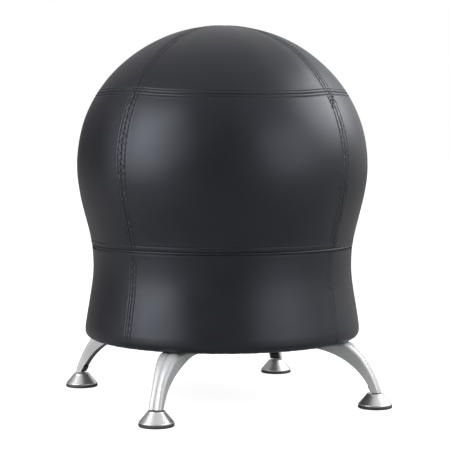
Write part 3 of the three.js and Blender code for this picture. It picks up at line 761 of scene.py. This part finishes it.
def open_foam(name, dark, light):
    look = Look(name, light)
    place = look.place()
    depth = look.remap(look.cells(place, 700.0), 0.1, 0.7, 0.0, 1.0)
    # Painted shade in the pores: the pits of the cells, low in the bump, also get the darker colour.
    share = look.plus(look.times(depth, 0.6), look.times(look.noise(place, 18.0, 3.0), 0.4))
    rough = look.remap(depth, 0.0, 1.0, 0.98, 0.85)
    return look.bumped(look.mix(share, dark, light), rough, depth, 0.8, 0.0004)


def ply(name, dark, light):
    """Birch plywood: stretched grain on the faces, layers on the edge."""
    look = Look(name, (0.46, 0.3, 0.15))
    place = look.place()
    stretched = look.add("Mapping", {"Vector": place, "Scale": (6.0, 90.0, 400.0)})[0]
    grain = look.noise(stretched, 2.0, 6.0, Distortion=0.6)
    height = look.add("SeparateXYZ", {"Vector": place})["Z"]
    layer = look.math("SINE", look.times(height, 2 * math.pi / (4 * MM)))
    share = look.plus(look.stretch(grain, 0.0, 0.8), look.times(layer, 0.12), clamp=True)
    rough = look.stretch(grain, 0.6, 0.8)
    return look.bumped(look.mix(share, dark, light), rough, grain, 0.3, 0.0002)


COVER = vinyl("black_vinyl", (0.0062, 0.0058, 0.0078), (0.0082, 0.0078, 0.0102), 0.36, 0.42)
WELT = vinyl("welt_vinyl", (0.007, 0.0067, 0.0085), (0.0095, 0.009, 0.0115), 0.4, 0.46, 1100.0)
THREAD = cloth("black_thread", (0.006, 0.006, 0.007), (0.03, 0.03, 0.033), 9000.0, 0.4)
LEG_PAINT = painted_metal("silver_powder_paint", (0.43, 0.435, 0.44), (0.5, 0.505, 0.51), 0.44, 0.52,
                          metallic=0.45)
CAP_METAL = turned_metal("satin_cap_metal", (0.54, 0.54, 0.545), (0.68, 0.68, 0.685), 0.3, 0.42)
ZINC = turned_metal("zinc_plate", (0.42, 0.43, 0.44), (0.54, 0.55, 0.57), 0.3, 0.42)
TOE_PLASTIC = moulded("black_nylon", (0.008, 0.008, 0.009), (0.02, 0.02, 0.021), 0.45, 0.6)
PAD_PLASTIC = moulded("dark_glide_pad", (0.02, 0.02, 0.021), (0.045, 0.045, 0.047), 0.5, 0.7, 900.0, 0.5)
BALL_RUBBER = moulded("grey_ball_rubber", (0.09, 0.1, 0.11), (0.13, 0.14, 0.15), 0.38, 0.55, 500.0)
PLUG_PLASTIC = moulded("white_plug", (0.66, 0.66, 0.63), (0.76, 0.76, 0.73), 0.35, 0.5)
ZIP_TAPE = cloth("zip_tape", (0.032, 0.032, 0.034), (0.085, 0.085, 0.089), 7000.0)
ZIP_TEETH = moulded("black_zip_teeth", (0.032, 0.032, 0.034), (0.06, 0.06, 0.063), 0.35, 0.5)
ZIP_METAL = painted_metal("black_zip_metal", (0.03, 0.03, 0.032), (0.06, 0.06, 0.063), 0.32, 0.45, 900.0)
DUST_CLOTH = cloth("dust_cloth", (0.006, 0.006, 0.007), (0.022, 0.022, 0.023), 3500.0)
FOAM = open_foam("cradle_foam", (0.28, 0.25, 0.18), (0.6, 0.56, 0.45))
PLY = ply("birch_ply", (0.34, 0.2, 0.09), (0.58, 0.41, 0.23))


# Cover


def follow_seat(obj):
    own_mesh(obj)


def make_cover():
    seat_lines, skirt_lines = [], []
    for side in PANELS:
        span = math.radians(gore(side, FRONT_GORE)) * COVER_RADIUS
        width = math.radians(gore(side, SKIRT_FRONT)) * HEM_RADIUS
        for part, build, body, support, flat in (
            ("side", side_panel, "seat", "exercise_ball", (span, SIDE_FLAT)),
            ("crown", crown_panel, "seat", "exercise_ball", (span * CROWN_SHARE, CROWN_FLAT)),
            ("skirt", skirt_panel, "base", "foam_cradle", (width, SKIRT_RUN[-1])),
        ):
            obj = build(side)
            area = backed_sheet(obj)
            hand_over(obj, f"{part}_cover_{side}", COVER, body, "vinyl_cover", f"{part}_panel_{side}")
            if body == "seat":
                follow_seat(obj)
        seat_lines += side_stitch_lines(side) + crown_stitch_lines(side)
        skirt_lines += skirt_stitch_lines(side)
    seat_thread = gathered([sewn_line(line) for line in seat_lines])
    hand_over(seat_thread, "seat_topstitching", THREAD, "seat", "vinyl_welt")
    follow_seat(seat_thread)
    skirt_thread = gathered([sewn_line(line) for line in skirt_lines])
    hand_over(skirt_thread, "skirt_topstitching", THREAD, "base", "vinyl_welt")


make_cover()


# Turned pieces

def turned(profile, reach=0.0, flats=48, closed=False):
    """A ring that is extruded and resized along a profile of (radius, height), about an upright axis."""
    rings = [(max(radius, 0.01 * MM), height) for radius, height in profile]
    if closed:
        rings.append(rings[0])
    at_radius, at_height = rings[0]
    obj = primitive(bpy.ops.mesh.primitive_circle_add, vertices=flats, radius=at_radius,
                    location=(reach, 0, at_height))
    edit(obj)
    for radius, height in rings[1:]:
        bpy.ops.mesh.extrude_region_move(TRANSFORM_OT_translate={"value": (0, 0, height - at_height)})
        share = radius / at_radius
        bpy.ops.transform.resize(value=(share, share, 1), center_override=(reach, 0, height))
        at_radius, at_height = radius, height
    seal(0.02 * MM)
    table = np.array(profile)
    points = points_of(obj)
    radii = np.hypot(points[:, 0] - reach, points[:, 1])
    near = ((radii[:, None] - table[:, 0]) ** 2 + (points[:, 2:3] - table[:, 1]) ** 2).argmin(axis=1)
    mark(obj, "profile_run", run_along(table)[near])
    smooth(obj, 32)
    return obj


def turned_in_mm(profile, *rest, **settings):
    return turned([(radius * MM, height * MM) for radius, height in profile], *rest, **settings)


def ball_arc(radius, half, start, end, step):
    return [(radius * math.sin(turn), BALL_CENTRE - half * math.cos(turn))
            for turn in turns_between(start, end, round((end - start) / step))]


PLUG_HOLE = 4.0 * MM
BALL_BOTTOM = BALL_CENTRE - BALL_HALF_HEIGHT


def ribbed_ball():
    """Ball with its wall, open at the plug's hole, and anti-slip ribs round its flanks."""
    outer = []
    start = math.degrees(math.asin(PLUG_HOLE / BALL_RADIUS))
    for radius, height in ball_arc(BALL_RADIUS, BALL_HALF_HEIGHT, start, 180, 1.5):
        share = (height - BALL_CENTRE) / BALL_HALF_HEIGHT
        rib = 0.7 * MM * max(0.0, math.cos(share * math.pi * 22)) ** 3 if abs(share) < 0.62 else 0.0
        outer.append((max(radius - rib * 0.6, 0.0), height))
    inner = ball_arc(BALL_RADIUS - BALL_WALL, BALL_HALF_HEIGHT - BALL_WALL, 3, 180, 6)
    mouth = [(PLUG_HOLE, BALL_BOTTOM + BALL_WALL)]
    profile = [(0.0, inner[-1][1])] + inner[::-1][1:] + mouth + outer[:-1] + [(0.0, outer[-1][1])]
    return turned(profile, flats=120)


def plug():
    """Valve plug in mm: a dished head under the ball and a ribbed stem in its hole."""
    top, head, stem = BALL_BOTTOM / MM - 0.3, 9, 3.7
    low, tip = top - 2, top + 7
    profile = [(0, low), (2.2, low), (2.6, low + 0.5), (4.4, low + 0.5), (4.8, low)]
    profile += arc((head - 0.8, low + 0.8), 0.8, -90, 0, 5)
    profile += [(head, top - 0.3), (head - 0.3, top), (stem, top)]
    for base in (top + 1.2, top + 2.7, top + 4.2):
        profile += [(stem - 0.3, base), (stem, base + 0.5), (stem, base + 0.9)]
    profile += arc((stem - 1.2, tip - 1.2), 1.2, 0, 90, 5) + [(0, tip)]
    return turned_in_mm(profile, flats=36)


BOARD_EDGE, BOARD_TOP = 200.3 * MM, 118.4 * MM


def cradle():
    """Foam ring: dished for the ball, wrapped round the board's edge."""
    depth = 2.4 * MM
    rim = 216.0 * MM
    half = BALL_HALF_HEIGHT + 0.3 * MM
    end = math.degrees(math.acos((BALL_CENTRE - rim) / half))
    cup = ball_arc(BALL_RADIUS + 0.3 * MM, half, 18, end, 2.25)
    profile = [(cup[0][0], BOARD_TOP), (BOARD_EDGE, BOARD_TOP), (BOARD_EDGE, HEM_HEIGHT + depth)]
    profile += arc(CORNER_CENTRE, HEM_CORNER - depth, -90, 0, 8)
    for height in np.linspace(CORNER_CENTRE[1], rim, 26)[1:]:
        lean = float(cover_lean(height))
        profile.append((float(cover_width(height)) - depth / math.hypot(1, lean), float(height)))
    return turned(profile + cup[::-1][:-1], flats=120, closed=True)


def welt():
    """Piping round the waist, its vinyl drawn into small pleats by the seam."""
    reach, middle = 203.05 * MM, 242.68 * MM
    ring = turned(arc((reach, middle), 1.85 * MM, 0, 330, 11), flats=360, closed=True)
    points = points_of(ring)
    angle, radius = angle_and_radius(points)
    pleat = 1 - 0.035 * (1 + wave(angle * reach, 91, 6.1, 8.3, 11.9))
    set_points(ring, polar(reach + (radius - reach) * pleat, angle, middle + (points[:, 2] - middle) * pleat))
    # Painted shade under the piping: the crease value rises towards its underside, where the vinyl's colour
    # is darkened.
    mark(ring, "crease", np.clip((middle - points[:, 2]) / (1.5 * MM), 0, 1) * 0.4)
    return ring


ball = hand_over(ribbed_ball(), "air_ball", BALL_RUBBER, "seat", "ball_rubber", "exercise_ball")
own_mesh(ball)
hand_over(plug(), "air_valve_plug", PLUG_PLASTIC, "base", "plug_plastic", "valve_plug")
foam = hand_over(cradle(), "cradle_foam_ring", FOAM, "base", "foam", "foam_cradle")
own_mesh(foam)
hand_over(welt(), "waist_piping", WELT, "base", "vinyl_welt", "waist_welt")


# Zip

SLIT = 240.0 * MM
TEETH_OUTER = 199.6 * MM


def zip_tape():
    """Lower tape: a flat band at the teeth and a thicker seam allowance under it."""
    low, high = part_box("zip_chain")
    outer, seam_top, top, groove = high.x, low.z + 8 * MM, high.z - 0.3 * MM, high.z - 2.5 * MM
    inner, mouth = TEETH_OUTER - 0.6 * MM, TEETH_OUTER - 0.9 * MM
    return turned([
        (inner, low.z), (outer, low.z), (outer, seam_top), (TEETH_OUTER, seam_top),
        (TEETH_OUTER, top), (mouth, top), (mouth, groove), (inner, groove),
    ], flats=180, closed=True)


def zip_teeth():
    """Moulded teeth in a ring, each a small bevelled block."""
    count = int(2 * math.pi * TEETH_OUTER / (2 * MM))
    tooth = primitive(bpy.ops.mesh.primitive_cube_add, size=1, location=(TEETH_OUTER - 0.55 * MM, 0, SLIT),
                      scale=(1.2 * MM, 1.3 * MM, 2.8 * MM))
    apply_modifier(tooth, "BEVEL", width=0.25 * MM, segments=1)
    hub = linked("zip_hub")
    hub.rotation_euler = (0, 0, 2 * math.pi / count)
    bpy.context.view_layer.update()
    apply_modifier(tooth, "ARRAY", count=count, use_relative_offset=False, use_object_offset=True,
                   offset_object=hub)
    drop(hub)
    smooth(tooth, 30)
    return tooth


def eased_copy(node, width):
    """A CAD solid with its edges rounded over."""
    copy = twin(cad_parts[node])
    copy.animation_data_clear()
    for key in list(copy.keys()):
        del copy[key]
    copy.parent = None
    copy.matrix_world = Matrix.Identity(4)
    copy.hide_render = False
    copy.hide_viewport = False
    edit(copy)
    bpy.ops.mesh.remove_doubles(threshold=0.002 * MM)
    bpy.ops.mesh.dissolve_limited(angle_limit=math.radians(1))
    close_edit()
    apply_modifier(copy, "BEVEL", width=width, segments=3, limit_method="ANGLE", angle_limit=math.radians(25))
    smooth(copy, 40)
    return copy


hand_over(zip_tape(), "zip_tape_ring", ZIP_TAPE, "base", "zip_plastic", "zip_chain")
hand_over(zip_teeth(), "zip_teeth_ring", ZIP_TEETH, "base", "zip_plastic")
hand_over(eased_copy("zip_slider", 0.22 * MM), "zip_slider_body", ZIP_METAL, "zip_slider", "zip_metal",
          "zip_slider")
hand_over(eased_copy("zip_pull", 0.3 * MM), "zip_pull_tab", ZIP_METAL, "zip_pull", "zip_metal", "zip_pull")


# Legs

LEG_TOP = 98.0 * MM
PLATE_LENGTH = 86 * MM
SHOULDER = 198.0 * MM
PLATE_REACH = SHOULDER - PLATE_LENGTH
FOOT_REACH = 250.6 * MM
ANKLE = 24.0 * MM
TOE_OUTER = FOOT_REACH + 7.9 * MM
TOE_INNER = TOE_OUTER - 10.7 * MM
LEG_WALL = 2.6 * MM
PLATE_WIDTH, TOE_WIDTH = 35 * MM, 20 * MM
BOLT_HOLE = 4.5 * MM
BOLT_REACHES = {"inner": PLATE_REACH + 14 * MM, "outer": PLATE_REACH + 40 * MM}


def leg_edge(height, bend, handle, toe, handle_in, handle_up):
    """Points along a leg's edge, evenly spaced: a level plate and then a curve down to the toe."""
    t = np.linspace(0, 1, 400)[:, None]
    a, b = np.array([bend, height]), np.array([bend + handle, height])
    c, d = np.array([toe - handle_in, ANKLE + handle_up]), np.array([toe, ANKLE])
    curve = a * (1 - t) ** 3 + 3 * b * t * (1 - t) ** 2 + 3 * c * t * t * (1 - t) + d * t ** 3
    path = np.vstack([[PLATE_REACH, height], curve])
    run = run_along(path)

    def at(share):
        return np.stack([np.interp(share * run[-1], run, path[:, k]) for k in (0, 1)], axis=-1)

    return at, run[-1]


leg_back, BACK_LENGTH = leg_edge(LEG_TOP, SHOULDER, 29 * MM, TOE_OUTER, 9.2 * MM, 29.8 * MM)
leg_belly, _ = leg_edge(LEG_TOP - 9.5 * MM, SHOULDER - 53 * MM, 46.6 * MM, TOE_INNER, 21.3 * MM, 42 * MM)


def leg_ring():
    """The channel's section, half by half: side, inset, inset per edge radius, drop, drop per edge
    radius and drop per depth."""
    half = [(1, 0, 0, 0, 1 - k, k) for k in (1, 0.66, 0.33)]
    half += [(1, 0, 1 - cos, 0, 1 - sin, 0) for cos, sin in arc((0, 0), 1, 0, 90, 8)]
    half.append((0.5, 0, 0, 0, 0, 0))
    half += [(0, -x * MM, 0, y * MM, 0, 0)
             for x, y in ((2.2, 0.0), (1.9, 0.1), (1.5, 0.4), (1.0, 0.85), (0.5, 1.15), (0, 1.25))]
    inner = [(1, LEG_WALL, 0, 0, 1 - k, k) for k in (1, 0.5)]
    inner += [(1, LEG_WALL * cos, 1 - cos, LEG_WALL * sin, 1 - sin, 0)
              for cos, sin in arc((0, 0), 1, 0, 90, 4)]
    mirrored, facing = (
        [(-side, -inset, -turn, *drop_by) for side, inset, turn, *drop_by in part]
        for part in (half[-2::-1], inner))
    return half + mirrored + facing + inner[::-1]


def channel_leg():
    """Pressed channel: its section laid along the back edge, narrower and shallower at the toe."""
    ring = np.array(leg_ring())
    count = len(ring)
    plate = PLATE_LENGTH / BACK_LENGTH
    stations = np.concatenate([np.linspace(0, plate, 9)[:-1], np.linspace(plate, 1, 72)])

    def place(u, v):
        row = ring[np.round(u * count).astype(int) % count]
        share = np.interp(v, np.linspace(0, 1, len(stations)), stations)
        back, belly = leg_back(share), leg_belly(share)
        down = belly - back
        depth = np.linalg.norm(down, axis=1)
        down = down / depth[:, None]
        t = np.clip((share - 0.42) / (0.88 - 0.42), 0, 1)
        half = (PLATE_WIDTH + (TOE_WIDTH - PLATE_WIDTH) * t * t * (3 - 2 * t)) / 2
        edge = np.interp(share, (0, plate, 0.6, 1), (4, 7, 7, 4)) * MM
        across = row[:, 0] * half - row[:, 1] - row[:, 2] * edge
        dropped = row[:, 3] + row[:, 4] * edge + row[:, 5] * depth
        at = back + down * dropped[:, None]
        return np.stack([at[:, 0], across, at[:, 1]], axis=1), np.zeros(len(u))

    leg = shaped_grid(count, len(stations) - 1, place)
    edit(leg)
    bpy.ops.mesh.remove_doubles(threshold=0.005 * MM)
    bpy.ops.mesh.select_all(action="DESELECT")
    bpy.ops.mesh.select_non_manifold()
    bpy.ops.mesh.edge_face_add()
    bpy.ops.mesh.select_all(action="SELECT")
    bpy.ops.mesh.normals_make_consistent(inside=False)
    close_edit()
    for reach in BOLT_REACHES.values():
        drill(leg, 32, 12 * MM, (reach, 0, LEG_TOP - 1.3 * MM))
    smooth(leg, 32)
    return leg


def bolt(reach):
    """Flanged hexagon bolt with rolled thread rings, in mm."""
    seat = LEG_TOP / MM - 2.9
    flange = seat - 1.4
    shank, end, pitch = 3.85, 116.1, 1.25
    profile = [(0, flange), (8.4, flange)] + arc((8.4, flange + 0.6), 0.6, -90, 0, 3)
    profile += [(9, seat), (shank, seat)]
    for i in range(12):
        base = seat + 4 + i * pitch
        profile += [(shank, base), (shank - 0.5, base + pitch / 2)]
    profile += [(shank, end - 1.2), (shank - 0.8, end), (0, end)]
    head = primitive(bpy.ops.mesh.primitive_cylinder_add, vertices=6, radius=7.5 * MM, depth=4.2 * MM,
                     location=(reach, 0, (flange - 1.8) * MM))
    apply_modifier(head, "BEVEL", width=0.45 * MM, segments=3, limit_method="ANGLE",
                   angle_limit=math.radians(30))
    smooth(head, 35)
    return gathered([turned_in_mm(profile, reach, 32), head])


# Height of the stud's ball, in mm
STUD_HEIGHT = 11.5


def glide_stud():
    """Ball stud in mm, its neck rolled smaller and its end threaded into the toe."""
    radius, neck, end = 5, 2.6, ANKLE / MM + 5.5
    start = math.degrees(math.asin(neck / radius))
    profile = [(0, STUD_HEIGHT - radius)] + arc((0, STUD_HEIGHT), radius, -88, 90 - start, 24)
    profile += [(neck, 17.5), (neck, end - 0.6), (neck - 0.6, end), (0, end)]
    return turned_in_mm(profile, FOOT_REACH, 32)


def glide_pad():
    """Pad in mm, with a rounded rim and the socket that grips the stud."""
    cavity, boss, lip = 5.3, 8.6, 3.4
    profile = [(0, 0), (21, 0)] + arc((25, 1), 1, -90, 0, 5) + arc((25.2, 3.1), 0.8, 0, 90, 4)
    profile += [(boss + 1, 3.9)] + arc((boss + 1, 4.9), 1, -90, -180, 4) + [(boss, STUD_HEIGHT + lip)]
    mouth = math.degrees(math.asin(lip / cavity))
    profile += arc((0, STUD_HEIGHT), cavity, mouth, -88, 20) + [(0, STUD_HEIGHT - cavity)]
    return turned_in_mm(profile, FOOT_REACH, 64)


def glide_cap():
    """Conical cap in mm: a short upright rim, a straight flank and a rounded shoulder."""
    bottom, rim, wall = 4.2, 25.3, 1.8
    top, shoulder, hole = 22, 13, 4.2
    outer = arc((rim - 0.7, bottom + 0.7), 0.7, -90, 0, 4) + [(rim, bottom + 1.3)]
    outer += arc((rim - 1, bottom + 1.6), 1, 0, 40, 4)
    start, finish = np.array((rim - 0.25, bottom + 2.2)), np.array((shoulder, top - 1.6))
    outer += [tuple(start + (finish - start) * share) for share in np.linspace(0.06, 0.93, 14)]
    outer += arc((shoulder - 1.7, top - 1.6), 1.6, 25, 90, 6)
    inner = [(hole, top), (hole, top - wall), (shoulder - 2.4, top - wall),
             (rim - wall - 0.5, bottom + 2.4), (rim - wall, bottom + 1.6), (rim - wall, bottom)]
    return turned_in_mm(outer + inner, FOOT_REACH, 96, closed=True)


def make_supports():
    leg, stud, pad, cap = channel_leg(), glide_stud(), glide_pad(), glide_cap()
    bolts = {spot: bolt(reach) for spot, reach in BOLT_REACHES.items()}
    for place, degrees in FEET.items():
        for master, name, material, body, slot, node in (
            (leg, "arched_leg", LEG_PAINT, "base", "silver_paint", "leg"),
            (stud, "ball_stud", ZINC, f"stud_{place}", "zinc_steel", "glide_stud"),
            (pad, "foot_pad", PAD_PLASTIC, f"glide_{place}", "glide_plastic", "glide_pad"),
            (cap, "foot_cap", CAP_METAL, f"glide_{place}", "bright_metal", "glide_cone"),
        ):
            hand_over(turned_copy(master, degrees), f"{name}_{place}", material, body, slot,
                      f"{node}_{place}")
        hand_over(eased_copy(f"foot_insert_{place}", 0.5 * MM), f"toe_plug_{place}", TOE_PLASTIC, "base",
                  "black_plastic", f"foot_insert_{place}")
        for spot, master in bolts.items():
            hand_over(turned_copy(master, degrees), f"bolt_{place}_{spot}", ZINC, "base", "zinc_steel",
                      f"leg_bolt_{place}_{spot}")
    drop(leg, stud, pad, cap, *bolts.values())


make_supports()


# Base: board, dust cover and staples

STAPLE_WIRE = 0.6 * MM
DUST_RINGS = 12


def dust_sheet():
    """Thin cloth under the board, drawn tight, sinking a little between the legs."""
    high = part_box("dust_cover")[1]
    obj = primitive(bpy.ops.mesh.primitive_circle_add, vertices=160, radius=high.x, fill_type="NGON",
                    location=(0, 0, high.z))
    edit(obj)
    for _ in range(DUST_RINGS):
        bpy.ops.mesh.inset(thickness=high.x / (DUST_RINGS + 1))
    bpy.ops.mesh.poke()
    close_edit()
    points = points_of(obj)
    angle, radius = angle_and_radius(points)
    away = np.abs(np.sin(2 * angle + math.pi / 2)) ** 1.5
    tight = (1 - (radius / high.x) ** 2) * away
    points[:, 2] -= 0.15 * MM * tight * (1 + wave(angle * radius, 71, 19, 31))
    set_points(obj, points)
    apply_modifier(obj, "SOLIDIFY", thickness=0.8 * MM, offset=0)
    obj.data.transform(Matrix.Translation((0, 0, -0.45 * MM)))
    for degrees in FEET.values():
        for reach in BOLT_REACHES.values():
            turn = math.radians(degrees)
            drill(obj, 24, 8 * MM, (reach * math.sin(turn), -reach * math.cos(turn), high.z))
    edit(obj)
    seal(0.004 * MM)
    smooth(obj, 30)
    return obj


def staple_ring(reach, height, count):
    """Staples in a ring under the base, left out where a leg's plate lies."""
    staple = primitive(bpy.ops.mesh.primitive_cube_add, size=1,
                       scale=(STAPLE_WIRE, 9.5 * MM, STAPLE_WIRE * 0.5))
    apply_modifier(staple, "BEVEL", width=0.12 * MM, segments=2)
    turns = [360 * (index + 0.5) / count for index in range(count)]
    copies = [turned_copy(staple, degrees, (reach, 0, height)) for degrees in turns
              if all(abs((degrees - leg + 180) % 360 - 180) >= 6.5 for leg in FEET.values())]
    drop(staple)
    return gathered(copies)


dust = hand_over(dust_sheet(), "dust_sheet", DUST_CLOTH, "base", "dust_cloth", "dust_cover")
hem_staples = staple_ring(HEM_INNER + 6 * MM, HEM_HEIGHT - 0.05 * MM, 60)
hand_over(hem_staples, "hem_staples", ZINC, "base", "zinc_steel")
dust_staples = staple_ring(HEM_INNER - 8 * MM, 98.7 * MM, 48)
hand_over(dust_staples, "dust_staples", ZINC, "base", "zinc_steel")

# Solids that keep their own shape
for node, material in [("base_board", PLY)] + [
    (f"threaded_insert_{place}_{spot}", ZINC) for place in FEET for spot in BOLT_REACHES
]:
    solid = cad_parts[node]
    solid.data.materials.clear()
    solid.data.materials.append(material)


# Studio: floor, backdrop, lamps and camera

CAMERA_TURN = math.radians(-23.108)
CAMERA_DIP = math.radians(3.534)
CAMERA_PLACE = (-0.8679, -2.0447, 0.4094)
CAMERA_BACK = Vector((-math.sin(CAMERA_TURN), math.cos(CAMERA_TURN), 0))
CAMERA_RIGHT = Vector((math.cos(CAMERA_TURN), math.sin(CAMERA_TURN), 0))
BACKDROP = CAMERA_BACK * 0.29 + CAMERA_RIGHT * 0.5 + Vector((0, 0, 0.82))
LAMP_AIM = Vector((0, 0, 0.3))
ROOM_DARK = 0.1
FLOOR_GLOW = 0.88
FLOOR_GLOSS = 0.12
BLACK, WHITE = grey(0.0), grey(1.0)


def seen_share(recipe, gloss):
    """1 where the camera sees it, also through clear pieces, and gloss where a reflection does."""
    rays = recipe.add("LightPath")
    seen = recipe.plus(rays["Is Camera Ray"], rays["Is Transmission Ray"], clamp=True)
    return recipe.math("MAXIMUM", seen, recipe.times(rays["Is Glossy Ray"], gloss))


def studio_world():
    """White where it is seen, and a room that is light above and behind and dark by the camera."""
    world = bpy.data.worlds.new("studio")
    bpy.context.scene.world = world
    world.use_nodes = True
    world.node_tree.nodes.clear()
    recipe = Recipe(world.node_tree)
    direction = recipe.add("TexCoord")["Generated"]
    lit = recipe.add("VectorMath", {0: direction, 1: tuple(BACKDROP.normalized())},
                     operation="DOT_PRODUCT")["Value"]
    room = recipe.remap(lit, 0.0, 0.8, ROOM_DARK, 1.0)
    share = recipe.math("MAXIMUM", seen_share(recipe, recipe.stretch(lit)), room)
    sky = recipe.add("Background", {"Color": recipe.mix(share, BLACK, WHITE), "Strength": 1.0})[0]
    out = recipe.tree.nodes.new("ShaderNodeOutputWorld")
    recipe.feed(out.inputs["Surface"], sky)


def pale_floor():
    floor = primitive(bpy.ops.mesh.primitive_plane_add, size=40)
    floor.name = "studio_floor"
    look = Look("pale_floor", grey(0.85))
    seen = seen_share(look, FLOOR_GLOSS)
    away = look.add("VectorMath", {0: look.place()}, operation="LENGTH")["Value"]
    level = look.remap(away, 0.4, 1.6, FLOOR_GLOW, 1.0)
    look.finish({
        "Base Color": grey(0.28), "Roughness": 0.9, "Specular IOR Level": 0.1,
        "Emission Color": look.mix(look.times(seen, level), BLACK, WHITE), "Emission Strength": 1.0,
    })
    under = look.add("NewGeometry")["Backfacing"]
    clear = look.add("BsdfTransparent")[0]
    mixed = look.add("MixShader", {0: under, 1: look.shader.outputs[0], 2: clear})[0]
    look.feed(look.tree.nodes["Material Output"].inputs["Surface"], mixed)
    floor.data.materials.append(look.material)


def lamp(name, turn, rise, distance, size, size_y, watts):
    """A softbox, placed by its direction from the camera's side and its height angle."""
    data = bpy.data.lights.new(name, "AREA")
    data.shape = "RECTANGLE"
    data.size, data.size_y = size, size_y
    data.energy = watts
    obj = linked(name, data)
    angle, lift = math.radians(turn) + CAMERA_TURN, math.radians(rise)
    away = Vector((math.sin(angle) * math.cos(lift), -math.cos(angle) * math.cos(lift), math.sin(lift)))
    obj.location = LAMP_AIM + away * distance
    obj.rotation_euler = away.to_track_quat("Z", "Y").to_euler()


def studio_camera():
    data = bpy.data.cameras.new("camera")
    data.lens = 112.95
    data.sensor_width = 36
    camera = linked("camera", data)
    camera.location = CAMERA_PLACE
    camera.rotation_euler = (math.pi / 2 - CAMERA_DIP, 0, CAMERA_TURN)
    bpy.context.scene.camera = camera


studio_world()
pale_floor()
lamp("left_softbox", -60, 21, 2.2, 1.55, 1.75, 59)
lamp("right_softbox", 107, 32, 2.2, 1.4, 1.05, 37)
lamp("right_front_fill", 51, 14, 2.4, 1.7, 1.5, 24)
studio_camera()
bpy.context.scene.view_settings.view_transform = "Standard"
